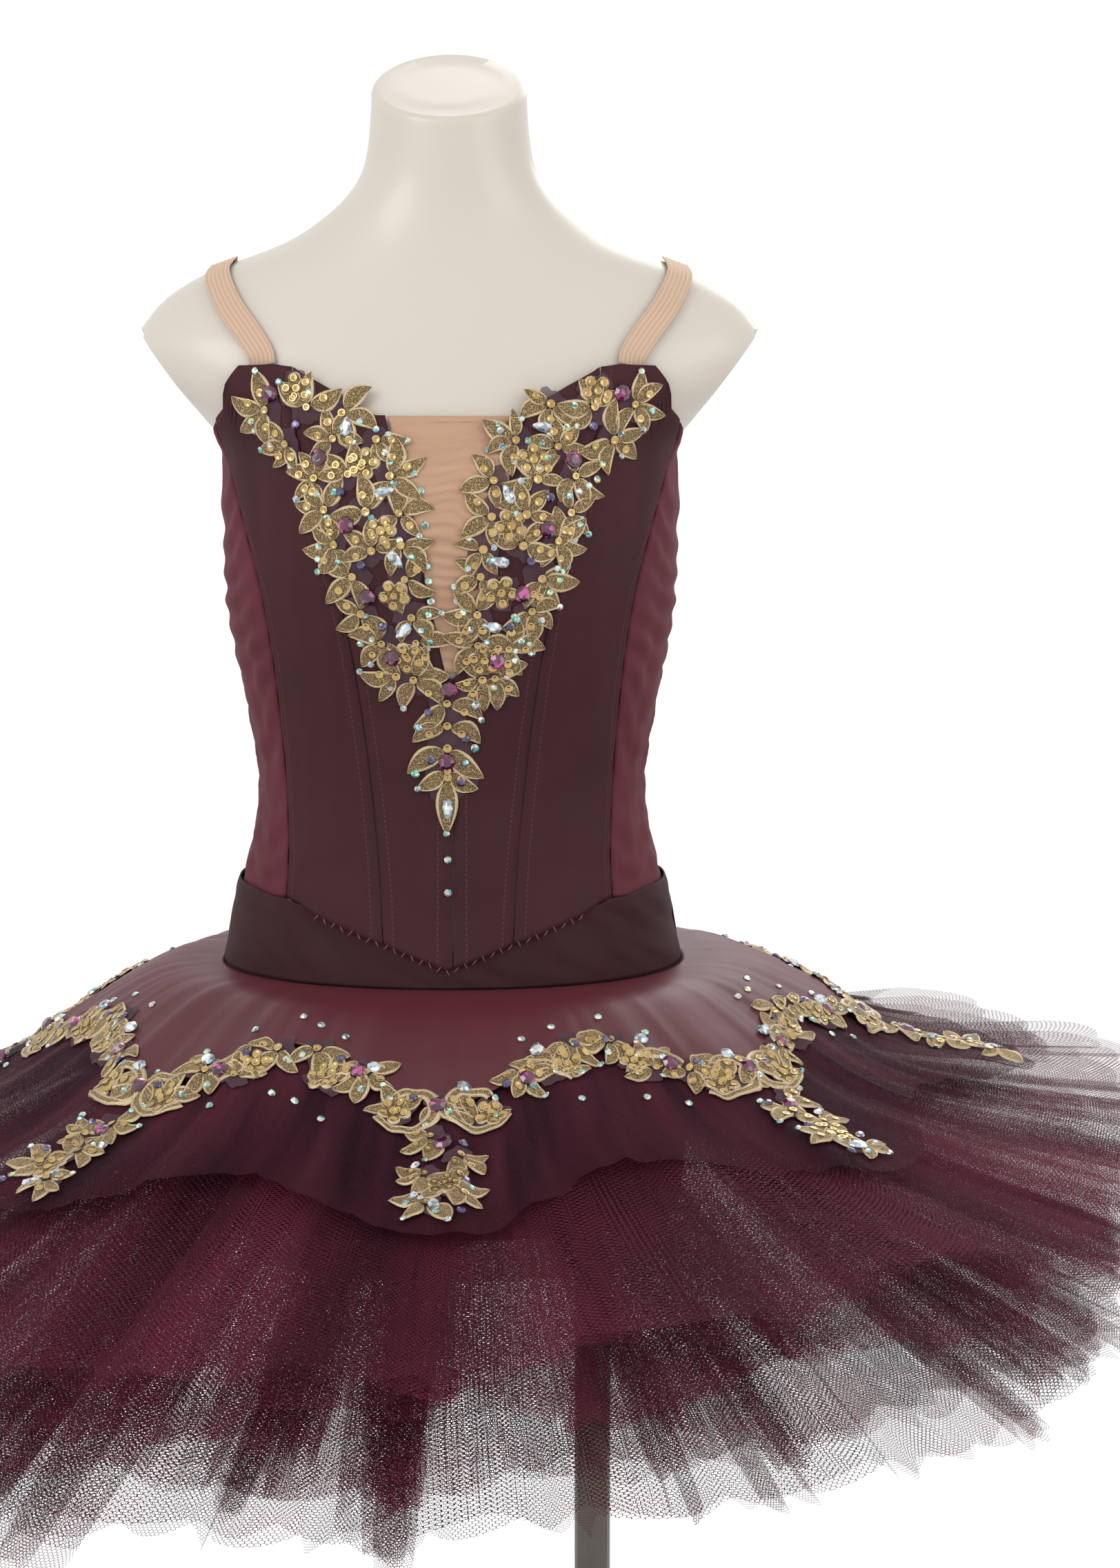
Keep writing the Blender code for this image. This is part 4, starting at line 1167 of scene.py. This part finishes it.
# The burgundy net's two colours are the dark and light ends of its painted fold shade.
burgundy_net = net_cloth(
    "burgundy_net", dye(44, 12, 24), dye(104, 38, 57), NET_CELL, NET_STRAND, fringe=HEM_LOBE
)
for number, cut in enumerate(NET_LAYERS):
    layer_bm = bmesh.new()
    layer_bm.loops.layers.uv.new("cut")
    for ply in range(cut.plies):
        shift = STRIP_SHIFT * (ply + 3 * number)
        ply_bm = cloth_grid(
            net_ply(number, cut, ply),
            PLY_COLUMNS,
            PLY_ROWS,
            lambda u, v: (STRIP_LENGTH * u + shift, STRIP_DEPTH * (1 - v)),
        )
        face_up(ply_bm)
        ply_mesh = bpy.data.meshes.new("ply")
        ply_bm.to_mesh(ply_mesh)
        ply_bm.free()
        layer_bm.from_mesh(ply_mesh)
        bpy.data.meshes.remove(ply_mesh)
    plies = show(f"net_{number + 1}_plies", layer_bm, [burgundy_net])
    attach(plies, "root")
    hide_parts(f"net_{number + 1}")
    cut.plies * STRIP_LENGTH

# The lace: gold metal cord couched in leaves, flowers and scrolls on a fine mauve net ground,
# with looped gold thread inside. It is cut out in sprigs and hand-sewn over the edges that it
# covers, and sequins and glass stones are sewn on top.
LACE_OUT = 0.0030
LEAF_ACROSS = (-1.0, -0.88, -0.72, -0.34, 0.0, 0.34, 0.72, 0.88, 1.0)
LEAF_HEIGHTS = (-0.6, 1.0, 0.35, 0.5, 0.75, 0.5, 0.35, 1.0, -0.6)
LEAF_ROWS = 8
PETALS = 5
PETAL_COLUMNS = 6
FLOWER_RINGS = (0.0, 0.38, 0.68, 0.86, 1.0)
FLOWER_HEIGHTS = (0.9, 0.45, 0.5, 1.1, -0.6)
SEQUIN_RINGS = (0.14, 0.5, 0.86, 1.0)
SEQUIN_HEIGHTS = (0.10, 0.16, 0.36, 0.30)
BAND_ACROSS = (-1.0, -0.7, -0.4, 0.0, 0.4, 0.7, 1.0)
BAND_HEIGHTS = (-0.6, 1.1, 0.4, 0.65, 0.4, 1.1, -0.6)
NOMINAL_LEAF = (0.006, 0.022)
GROUND_CUT = 0.016
LEAF_ROOT = 0.0022
LEAF_WIDEST = 0.0140
BELLY_STONE = 0.0046
TIP_STONE = 0.0044
MM = 0.001
UP_STEP = 0.003
CHEST_STEP = 0.003
CHAIN_STEP = 0.03
LOOPS_A_METRE = 1050.0

# The cord's colour follows its fine twist: bright where the twist is raised and dark between, painted glints
# and shade. The slower change is a random tone.
gold_cord = Finish("gold_cord", Metallic=0.75)
cord_twist_and_painted_glints = gold_cord.grain(1500.0, 3.0)
cord_age = gold_cord.grain(60.0, 3.0)
gold_cord.wear(
    Base_Color=gold_cord.mixed(
        cord_age,
        gold_cord.mixed(cord_twist_and_painted_glints, dye(80, 58, 36), dye(228, 204, 160)),
        gold_cord.mixed(cord_twist_and_painted_glints, dye(120, 92, 58), dye(252, 236, 200)),
    ),
    Roughness=cord_twist_and_painted_glints * 0.25 + 0.28,
    Normal=gold_cord.raised(cord_twist_and_painted_glints, 0.0004),
)
gold_fill = Finish("gold_thread", Metallic=0.45)
loops = gold_fill.add(
    "ShaderNodeTexVoronoi",
    {"feature": "DISTANCE_TO_EDGE"},
    {"Vector": gold_fill.place(), "Scale": LOOPS_A_METRE},
)
loop_thread = (loops * 3.3).smaller(1.0)
gold_fill.wear(
    Base_Color=gold_fill.mixed(loop_thread, dye(186, 158, 112), dye(32, 20, 18)),
    Roughness=loop_thread * 0.3 + 0.38,
    Normal=gold_fill.raised(1 - loop_thread, 0.0005),
)
sequin_gold = Finish("sequin_gold", Metallic=0.9)
sequin_tint = sequin_gold.grain(120.0, 2.0)
sequin_gold.wear(
    Base_Color=sequin_gold.mixed(sequin_tint, dye(138, 108, 62), dye(216, 188, 132)),
    Roughness=sequin_tint * 0.15 + 0.12,
)


def cut_glass(name, stops, facet_scale, **sockets):
    """Foiled glass with painted reflections: patch by patch its colour steps between dark and bright stops,
    as facets would catch the light.
    """
    finish = Finish(name, Coat_Weight=1.0, Coat_Roughness=0.03, **sockets)
    facet_reflections = finish.add(
        "ShaderNodeTexVoronoi", {"feature": "F1"}, {"Vector": finish.place(), "Scale": facet_scale}, output=1
    )
    ramp = finish.add("ShaderNodeValToRGB", {"stops": stops}, {"Fac": finish.split(facet_reflections)[0]})
    finish.wear(Base_Color=ramp, Roughness=finish.grain(300.0) * 0.1 + 0.06)
    return finish


# The stops below run from dark to bright facets, painted reflections and highlights; on the shimmer stones
# they also hold the coating's own tints.
shimmer = cut_glass(
    "shimmer_glass",
    [
        (0.0, dye(24, 66, 68)),
        (0.3, dye(96, 172, 150)),
        (0.5, dye(226, 236, 220)),
        (0.68, dye(74, 146, 170)),
        (0.85, dye(206, 160, 168)),
        (1.0, dye(176, 190, 96)),
    ],
    520.0,
    Metallic=0.3,
)
clear_glass = cut_glass(
    "clear_glass",
    [
        (0.0, dye(84, 92, 100)),
        (0.4, dye(160, 164, 172)),
        (0.7, dye(226, 228, 228)),
        (1.0, dye(134, 170, 184)),
    ],
    420.0,
    Metallic=0.35,
)
fuchsia_glass = cut_glass(
    "fuchsia_glass",
    [
        (0.0, dye(34, 4, 22)),
        (0.5, dye(74, 9, 48)),
        (0.85, dye(106, 18, 72)),
        (1.0, dye(190, 84, 144)),
    ],
    330.0,
    Metallic=0.2,
)
navy_glass = cut_glass(
    "navy_glass",
    [(0.0, dye(24, 18, 40)), (0.6, dye(50, 38, 80)), (1.0, dye(96, 84, 130))],
    500.0,
    Metallic=0.2,
)
# The lace ground's net takes the same painted streaks of fold shade.
gauze = net_cloth("lace_ground", dye(66, 46, 54), dye(92, 70, 78), 0.0010, 0.42, solid=lambda out: 0.2)
LACE_FINISHES = [
    gold_cord, gold_fill, sequin_gold, shimmer, clear_glass, fuchsia_glass, navy_glass, gauze
]
CORD, FILL, SEQUIN, SHIMMER, CLEAR, FUCHSIA, NAVY, GAUZE = range(8)


def template(bm, choose, smooth=True):
    """Keeps a small shape to be sewn on many times, with a finish chosen for each face."""
    for face in bm.faces:
        face.material_index = choose(face)
        face.smooth = smooth
    mesh = bpy.data.meshes.new("sprig")
    bm.to_mesh(mesh)
    bm.free()
    return mesh


def leaf_surface(u, v):
    """A leaf one unit long and two wide, with a cord round its edge and a raised middle."""
    across = LEAF_ACROSS[round(u * 8)]
    wide = max(math.sin(math.pi * v**0.78), 0.0) ** 0.8
    raised = LEAF_HEIGHTS[round(u * 8)] * min(wide * 2.5, 1.0)
    return (across * wide, v, raised)


def leaf_spread(u, v):
    """A leaf's own place on its cut."""
    return (LEAF_ACROSS[round(u * 8)] * NOMINAL_LEAF[0], v * NOMINAL_LEAF[1])


def polar(rings, heights, outline):
    """A round surface whose rings have these radii and heights."""

    def surface(u, v):
        ring = round(v * (len(rings) - 1))
        reach = rings[ring] * outline(2 * math.pi * u)
        height = heights[ring]
        return (reach * math.cos(2 * math.pi * u), reach * math.sin(2 * math.pi * u) * 0.5, height)

    return surface


def petal_edge(angle):
    """How far out a flower's edge lies, with a dip between petals."""
    return 0.62 + 0.38 * abs(math.sin(PETALS * angle / 2)) ** 0.6


def ground_edge(angle):
    """How far out the uneven edge of a patch of ground lies."""
    return 0.82 + 0.12 * math.sin(3 * angle + 1.0) + 0.08 * math.sin(7 * angle)


def corded(bm, axis, limit):
    """Chooses a face's finish: cord where its place on the cut is past a limit, else filling."""
    layer = bm.loops.layers.uv["cut"]

    def choose(face):
        places = [abs(loop[layer].uv[axis]) for loop in face.loops]
        return CORD if sum(places) / len(places) > limit else FILL

    return choose


leaf_bm = cloth_grid(leaf_surface, 8, LEAF_ROWS, leaf_spread)
face_up(leaf_bm)
LEAF = template(leaf_bm, corded(leaf_bm, 0, 0.76 * NOMINAL_LEAF[0]))
petals = polar(FLOWER_RINGS, FLOWER_HEIGHTS, petal_edge)
flower_bm = cloth_grid(petals, PETALS * PETAL_COLUMNS, 4, lambda u, v: (u * 0.05, v * 0.011))
face_up(flower_bm)
FLOWER = template(flower_bm, corded(flower_bm, 1, 0.0072))
disc = polar(SEQUIN_RINGS, SEQUIN_HEIGHTS, lambda angle: 1.0)
sequin_bm = cloth_grid(disc, 10, 3, lambda u, v: (u, v))
face_up(sequin_bm)
bead_place = Matrix.Diagonal((1, 0.5, 1, 1))
bmesh.ops.create_icosphere(sequin_bm, subdivisions=1, radius=0.24, matrix=bead_place)
SEQUIN_SHAPE = template(sequin_bm, lambda face: SEQUIN)


def ground_spread(u, v):
    """The ground's own place on its cut net, so that its cells are round."""
    turn = 2 * math.pi * u
    return (GROUND_CUT * v * math.cos(turn), GROUND_CUT * v * math.sin(turn))


patch = polar((0.0, 0.4, 0.75, 1.0), (0, 0, 0, 0), ground_edge)
ground_bm = cloth_grid(patch, 20, 3, ground_spread)
face_up(ground_bm)
GROUND = template(ground_bm, lambda face: GAUZE)


def stone_shape(colour, sides, taper=0.0):
    """A faceted glass stone: a flat foiled back, a low girdle, a crown and a table."""
    bm = bmesh.new()
    made = bmesh.ops.create_cone(bm, cap_ends=True, segments=sides, radius1=1.0, radius2=0.9, depth=0.22)
    bmesh.ops.translate(bm, verts=made["verts"], vec=(0, 0, 0.11))
    table = max(bm.faces, key=lambda face: face.calc_center_median().z)
    bmesh.ops.inset_region(bm, faces=[table], thickness=0.36, depth=0.34, use_even_offset=True)
    for vert in bm.verts:
        vert.co.y *= 0.5
        vert.co.x *= 1 - taper * (vert.co.y + 0.5)
    return template(bm, lambda face: colour, smooth=False)


ROUND_STONES = {colour: stone_shape(colour, 8) for colour in (SHIMMER, CLEAR, FUCHSIA, NAVY)}
DROP_STONE = stone_shape(CLEAR, 10, taper=0.55)


def band_template(points, width, taper=0.35):
    """A band of two cords and a filling that follows points laid flat, in metres."""
    points = [Vector((x, y, 0)) for x, y in points]

    def surface(u, v):
        place = v * (len(points) - 1)
        ahead = on_curve(points, place + 0.1) - on_curve(points, place - 0.1)
        side = Vector((-ahead.y, ahead.x, 0)).normalized()
        reach = BAND_ACROSS[round(u * 6)] * width / 2 * (1 - taper * abs(2 * v - 1) ** 3)
        spot = on_curve(points, place) + side * reach
        return (spot.x, spot.y, BAND_HEIGHTS[round(u * 6)])

    def spread(u, v):
        return (BAND_ACROSS[round(u * 6)] * NOMINAL_LEAF[0], v * 0.05)

    bm = cloth_grid(surface, 6, 5 * len(points), spread)
    face_up(bm)
    return template(bm, corded(bm, 0, 0.5 * NOMINAL_LEAF[0]))


def spiral(start, turns, outer, inner, steps=12):
    """Points on a scroll that winds inwards."""
    points = []
    for step in range(steps + 1):
        angle = start + turns * 2 * math.pi * step / steps
        reach = outer + (inner - outer) * step / steps
        points.append((reach * math.cos(angle), reach * math.sin(angle)))
    return points


def lay_on(chart, a, b, step):
    """The way to sew at a place: shifts across and up the cloth, and a height, become a point."""
    here = Vector(chart(a, b))
    one_way = (Vector(chart(a + step, b)) - Vector(chart(a - step, b))) / (2 * step)
    other_way = (Vector(chart(a, b + UP_STEP)) - Vector(chart(a, b - UP_STEP))) / (2 * UP_STEP)
    across = one_way.normalized()
    lean = other_way.dot(across)
    square = other_way - across * lean
    out = across.cross(square).normalized()
    flipped = out.dot(Vector((here.x, here.y, 0.2))) < 0
    out = -out if flipped else out

    def put(x, y, height):
        up = y / square.length
        return Vector(chart(a + (x - up * lean) / one_way.length, b + up)) + out * height

    return put, flipped


def sew_on(lace, shape, place, turn, wide, long, lift=0.0, tall=MM, bend=0.0):
    """Sews a template on at a place, turned clockwise from up, that wide and long."""
    put, flipped = place
    first, first_face = len(lace.verts), len(lace.faces)
    lace.from_mesh(shape)
    lace.verts.ensure_lookup_table()
    lace.faces.ensure_lookup_table()
    upright, askew = math.cos(turn), math.sin(turn)
    for vert in lace.verts[first:]:
        x, y, z = vert.co
        x = x * wide / 2 + bend * long * 4 * y * (1 - y)
        y *= long
        vert.co = put(x * upright + y * askew, y * upright - x * askew, lift + z * tall)
    if flipped:
        bmesh.ops.reverse_faces(lace, faces=lace.faces[first_face:])


def sew_stone(lace, place, colour, size, turn=0.0, long=None, shift=(0.0, 0.0), lift=0.0006):
    """Sews on a round stone, or a long one, that far from the place."""
    put, flipped = place
    moved = (lambda x, y, height: put(x + shift[0], y + shift[1], height), flipped)
    shape = DROP_STONE if long else ROUND_STONES[colour]
    sew_on(lace, shape, moved, turn, size, long or size, lift, size * 0.42)


def sew_sequin(lace, place, shift, luck, lift=0.0009):
    """Sews on a cupped sequin with a bead, that far from the place."""
    put, flipped = place
    size = luck.uniform(4.4, 5.4) * MM
    moved = (lambda x, y, height: put(x + shift[0], y + shift[1], height), flipped)
    sew_on(lace, SEQUIN_SHAPE, moved, luck.uniform(0, 6), size, size, lift, size * 0.45)


def sew_fan(lace, place, luck, heading, spread, leaves, length):
    """A sprig: leaves that open like a fan from one place, on their patch of ground."""
    ground = length * 1.2
    sew_on(lace, GROUND, place, luck.uniform(0, 6), ground, ground * 1.15, 0.0001)
    for number in range(leaves):
        share = number / max(leaves - 1, 1) - 0.5
        turn = math.radians(heading + spread * share + luck.uniform(-9, 9))
        long = length * luck.uniform(0.84, 1.12)
        wide = min(long * luck.uniform(0.50, 0.64), LEAF_WIDEST)
        put, flipped = place
        moved = (
            lambda x, y, height: put(
                x + LEAF_ROOT * math.sin(turn), y + LEAF_ROOT * math.cos(turn), height
            ),
            flipped,
        )
        lift = 0.0004 + 0.0005 * (number % 2)
        sew_on(lace, LEAF, moved, turn, wide, long, lift, MM, luck.uniform(-0.2, 0.2))
        belly = long * luck.uniform(0.36, 0.5) + LEAF_ROOT
        spot = (belly * math.sin(turn), belly * math.cos(turn))
        chance = luck.random()
        if chance < 0.55:
            sew_sequin(lace, place, spot, luck, 0.0014)
        elif chance < 0.72:
            sew_stone(lace, place, SHIMMER, BELLY_STONE, turn, shift=spot, lift=0.0012)
        if luck.random() < 0.25:
            tip = long + LEAF_ROOT - MM
            spot = (tip * math.sin(turn), tip * math.cos(turn))
            sew_stone(lace, place, SHIMMER, TIP_STONE, turn, shift=spot, lift=0.001)
    sew_sequin(lace, place, (0, 0), luck, 0.0016)


def sew_flower(lace, place, luck, radius):
    """A five-petalled flower with a sequin on each petal."""
    turn = luck.uniform(0, 2 * math.pi)
    sew_on(lace, GROUND, place, turn, radius * 2.5, radius * 2.5, 0.0001)
    sew_on(lace, FLOWER, place, turn, 2 * radius, 2 * radius, 0.0008)
    for petal in range(PETALS):
        angle = -turn + math.pi / PETALS * (2 * petal + 1)
        spot = (0.62 * radius * math.cos(angle), 0.62 * radius * math.sin(angle))
        sew_sequin(lace, place, spot, luck, 0.0014)
    sew_sequin(lace, place, (0, 0), luck, 0.0018)


def finish_lace(lace, name, node):
    """Links a piece of lace in place of its solid."""
    piece = show(name, lace, LACE_FINISHES, smooth=False)
    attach(piece, "root")
    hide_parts(node)


def new_lace():
    """An empty piece of lace, with the map that its finishes read."""
    lace = bmesh.new()
    lace.loops.layers.uv.new("cut")
    return lace


def chest_chart(x, z):
    """The bodice's face at a distance from the middle line, where the lace is sewn on."""
    angle = angle_at(x, z)
    out = LACE_OUT + armhole_ease(z) + point_lift(angle, z) + 0.8 * handling(abs(angle), z)
    return body_point(angle, z, out)


# The neckline's lace: rows of sprigs up a band on each side, with flowers and large stones in
# the gaps between the rows. Distances are in millimetres, out from the middle line, and
# headings turn outwards from up. Chance varies every sprig, so the two sides differ.
BandEdge = namedtuple("BandEdge", "z inner outer")
NECK_BAND = [
    BandEdge(1142, 8, 36),
    BandEdge(1188, 9, 59),
    BandEdge(1235, 13, 76),
    BandEdge(1273, 19, 90),
    BandEdge(1304, 36, 118),
    BandEdge(1332, 88, 118),
]
NECK_ROWS = range(1150, 1320, 20)
ROW_GAP = 10
SPRIG_PITCH = 26
BAND_INSET = 11
FUCHSIA_SIZE = 11
CLEAR_SIZE = 9
DROP_LONG = 13
NAVY_SIZE = 6
FLOWER_RADIUS = 10
LOOSE_STONE = 0.0050
LOOSE_STONE_STEP = 13


def band_share(z, share):
    """The distance out to a share of the way over the band at a height, inside its edges."""
    inner, outer = along(NECK_BAND, z, 1) + BAND_INSET, along(NECK_BAND, z, 2) - BAND_INSET
    return inner + share * (outer - inner)


def lay_sprig(lace, luck, place_at, across, up, heading):
    """Sews on a sprig of three to five leaves near a place, as chance has it."""
    leaves = luck.randint(3, 5)
    spread = leaves * luck.uniform(36, 48)
    place = place_at(across + luck.uniform(-3, 3), up + luck.uniform(-3, 3))
    turn = place_at.side * (heading + luck.uniform(-30, 30))
    sew_fan(lace, place, luck, turn, place_at.side * spread, leaves, luck.uniform(17, 22) * MM)


def lay_stone(lace, luck, place_at, colour, across, up, size, long=None):
    """Sews on a large stone near a place, turned as chance has it."""
    place = place_at(across + luck.uniform(-2, 2), up + luck.uniform(-2, 2))
    turn = luck.uniform(-math.pi, math.pi)
    sew_stone(lace, place, colour, size * MM, turn, long * MM if long else None, lift=0.0012)


def lay_flower(lace, luck, place_at, across, up):
    """Sews on a flower near a place, as large as chance has it."""
    place = place_at(across + luck.uniform(-2, 2), up + luck.uniform(-2, 2))
    sew_flower(lace, place, luck, FLOWER_RADIUS * luck.uniform(0.85, 1.15) * MM)


class ChestPlace:
    """Places on one side of the chest, by the distance from the middle line and the height."""

    def __init__(self, side):
        self.side = side

    def __call__(self, across, z):
        return lay_on(chest_chart, self.side * across * MM, z * MM, CHEST_STEP)


for side, letter in ((LEFT, "l"), (RIGHT, "r")):
    luck = random.Random(41 + side)
    place_at = ChestPlace(side)
    lace = new_lace()
    for number, z in enumerate(NECK_ROWS):
        wide = band_share(z, 1.0) - band_share(z, 0.0)
        last = max(round(wide / SPRIG_PITCH), 1)
        for column in range(last + 1):
            share = column / last
            lay_sprig(lace, luck, place_at, band_share(z, share), z, 230 * share - 120)
        gap_z = z + ROW_GAP
        if number % 2:
            lay_stone(lace, luck, place_at, CLEAR, band_share(gap_z, 0.2), gap_z, CLEAR_SIZE, DROP_LONG)
            lay_stone(lace, luck, place_at, NAVY, band_share(gap_z, 0.7), gap_z, NAVY_SIZE)
        else:
            lay_flower(lace, luck, place_at, band_share(gap_z, 0.3), gap_z)
            lay_stone(lace, luck, place_at, FUCHSIA, band_share(gap_z, 0.8), gap_z, FUCHSIA_SIZE)
    for z in range(NECK_BAND[0].z, NECK_BAND[-2].z, LOOSE_STONE_STEP):
        for column, chance in ((1, 0.4), (2, 0.9)):
            if luck.random() < chance:
                edge = along(NECK_BAND, z, column) + luck.uniform(-3, 3)
                place = place_at(edge, z + luck.uniform(-4, 4))
                sew_stone(lace, place, SHIMMER, LOOSE_STONE, luck.uniform(0, 3), lift=0)
    finish_lace(lace, f"lace_neck_{letter}_motifs", f"lace_neck_{letter}")

# The stomacher's lace: leaves in pairs down the centre seam at even steps, with a large stone
# above the first and the last pair, a long leaf at the end and single stones below it.
PAIR_TOP_Z = 1134
PAIR_STEP = 14
PAIRS = 4
PAIR_SPREAD = 115
PAIR_LEAF = 24
END_LEAF = 30
SINGLE_STEP = 20
luck = random.Random(7)
place_at = ChestPlace(LEFT)
lace = new_lace()
for pair in range(PAIRS):
    z = PAIR_TOP_Z - pair * PAIR_STEP
    spread = PAIR_SPREAD + luck.uniform(-15, 15)
    sew_fan(lace, place_at(0, z), luck, 180, spread, 2, PAIR_LEAF * luck.uniform(0.9, 1.1) * MM)
    beside = 9 if pair % 2 else -9
    lay_stone(lace, luck, place_at, NAVY, beside, z - PAIR_STEP / 2, NAVY_SIZE)
    lay_stone(lace, luck, place_at, SHIMMER, -2 * beside, z, 5.5)
end_z = PAIR_TOP_Z - PAIRS * PAIR_STEP
sew_fan(lace, place_at(0, end_z + ROW_GAP), luck, 180, 0, 1, END_LEAF * MM)
for z in (PAIR_TOP_Z + PAIR_STEP / 2, end_z + 1.5 * PAIR_STEP):
    lay_stone(lace, luck, place_at, FUCHSIA, 0, z, FUCHSIA_SIZE)
sew_stone(lace, place_at(0, end_z - ROW_GAP), CLEAR, CLEAR_SIZE * MM, math.pi, DROP_LONG * MM, lift=0.0012)
for step in (1, 2):
    z = end_z + ROW_GAP - END_LEAF - step * SINGLE_STEP
    sew_stone(lace, place_at(0, z), SHIMMER, LOOSE_STONE, lift=0)
finish_lace(lace, "lace_stomacher_motifs", "lace_stomacher")

# The tacking: short slanting stitches of dull red thread that hold the bodice's point down on
# the basque.
TACK_PITCH = 0.0052
TACKS_A_SIDE = 15
TACK_SIZE = (0.00075, 0.0052)
tack_thread = Finish("tacking_thread", Roughness=0.6)
tack_twist = tack_thread.grain(900.0)
tack_thread.wear(Base_Color=tack_thread.mixed(tack_twist, dye(92, 38, 46), dye(138, 70, 76)))
tack_bm = bmesh.new()
bmesh.ops.create_uvsphere(tack_bm, u_segments=6, v_segments=5, radius=1.0)
bmesh.ops.scale(tack_bm, vec=(1, 0.5, 1), verts=tack_bm.verts)
TACK = template(tack_bm, lambda face: 0)
tacking = new_lace()
for number in range(-TACKS_A_SIDE, TACKS_A_SIDE + 1):
    x = number * TACK_PITCH
    z = waist_line(angle_at(x, BASQUE_TOP_Z), 2) - 0.0008
    slant = 0.7 if number % 2 else -0.5
    stitch_at = lay_on(chest_chart, x, z, CHEST_STEP)
    sew_on(tacking, TACK, stitch_at, slant, *TACK_SIZE, lift=-0.0004, tall=0.0004)
tacks = show("point_tacking", tacking, [tack_thread], smooth=False)
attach(tacks, "root")

# The skirt's lace: a chain of sprigs at even steps over the satin's edge, with scrolls between
# them and a tip that runs down each of the eight points. Distances are in millimetres along the
# chain and past the satin's edge, and every other motif is mirrored.
HALF_CHAIN = 86.0
CHAIN_SPRIGS = range(-76, 77, 19)
CHAIN_GAPS = range(-66, 67, 22)
TIP_SPRIGS = range(26, 92, 16)
TIP_SWAY = 5
CHAIN_LIFT = 0.0012
CHAIN_DROP = 0.0038
CHAIN_SLOPE = 0.014
BIG_SCROLL = band_template(spiral(0.4, 0.82, 0.021, 0.010), 0.0085)
SWAG = band_template(spiral(3.5, 0.36, 0.020, 0.018), 0.0080)
SCROLLS = ((BIG_SCROLL, 16, 6), (SWAG, 56, 22))


def chain_chart(angle, run):
    """The plates' face under the chain, which steps down from the satin onto the net."""
    edge = SATIN_EDGE + SATIN_SCALLOP * math.cos(POINTS * angle)
    past = min(max((run - edge) / CHAIN_SLOPE, 0.0), 1.0)
    return plate_point(angle, run, CHAIN_LIFT - CHAIN_DROP * past * past * (3 - 2 * past))


class ChainPlace:
    """Places on the plates, by the distance along one point's chain and past the satin's edge."""

    def __init__(self, number, side):
        self.middle = 2 * math.pi * number / POINTS
        self.side = side

    def __call__(self, across, past):
        angle = self.middle + self.side * across / HALF_CHAIN * math.pi / POINTS
        edge = SATIN_EDGE + SATIN_SCALLOP * math.cos(POINTS * angle)
        return lay_on(chain_chart, angle, edge + past * MM, CHAIN_STEP)


for number in range(POINTS):
    side = RIGHT if number % 2 else LEFT
    luck = random.Random(100 + number)
    place_at = ChainPlace(number, side)
    lace = new_lace()
    for step, across in enumerate(CHAIN_SPRIGS):
        past, heading = (12, 175) if step % 2 else (3, 20)
        lay_sprig(lace, luck, place_at, across, past, heading)
    for step, past in enumerate(TIP_SPRIGS):
        sway = TIP_SWAY if step % 2 else -TIP_SWAY
        lay_sprig(lace, luck, place_at, sway, past, 8 * sway)
        lay_stone(lace, luck, place_at, (NAVY, CLEAR)[step % 2], -2 * sway, past + 8, NAVY_SIZE)
    for shape, across, past in SCROLLS:
        for mirror in (-1, 1):
            sew_on(lace, shape, place_at(mirror * across, past), 0.0, 2 * side * mirror, 1, 0.0007)
    for step, across in enumerate(CHAIN_GAPS):
        if step % 2:
            lay_stone(lace, luck, place_at, FUCHSIA, across, 4, FUCHSIA_SIZE)
            lay_stone(lace, luck, place_at, CLEAR, across + 9, -7, CLEAR_SIZE)
        else:
            lay_flower(lace, luck, place_at, across, 12)
            lay_stone(lace, luck, place_at, NAVY, across + 9, 2, NAVY_SIZE)
    lay_stone(lace, luck, place_at, FUCHSIA, 0, TIP_SPRIGS[0] + 8, FUCHSIA_SIZE)
    lay_stone(lace, luck, place_at, CLEAR, 0, TIP_SPRIGS[-1], CLEAR_SIZE, DROP_LONG)
    lay_flower(lace, luck, place_at, 0, TIP_SPRIGS[-2])
    for across in range(-78, 90, 24):
        for past, chance in ((-20, 0.9), (34, 0.45)):
            if luck.random() < chance and abs(across) + past > 0:
                place = place_at(across + luck.uniform(-6, 6), past + luck.uniform(-5, 5))
                sew_stone(lace, place, SHIMMER, 0.0050, luck.uniform(0, 3), lift=-0.0006)
    finish_lace(lace, f"lace_point_{number + 1}_motifs", f"lace_point_{number + 1}")

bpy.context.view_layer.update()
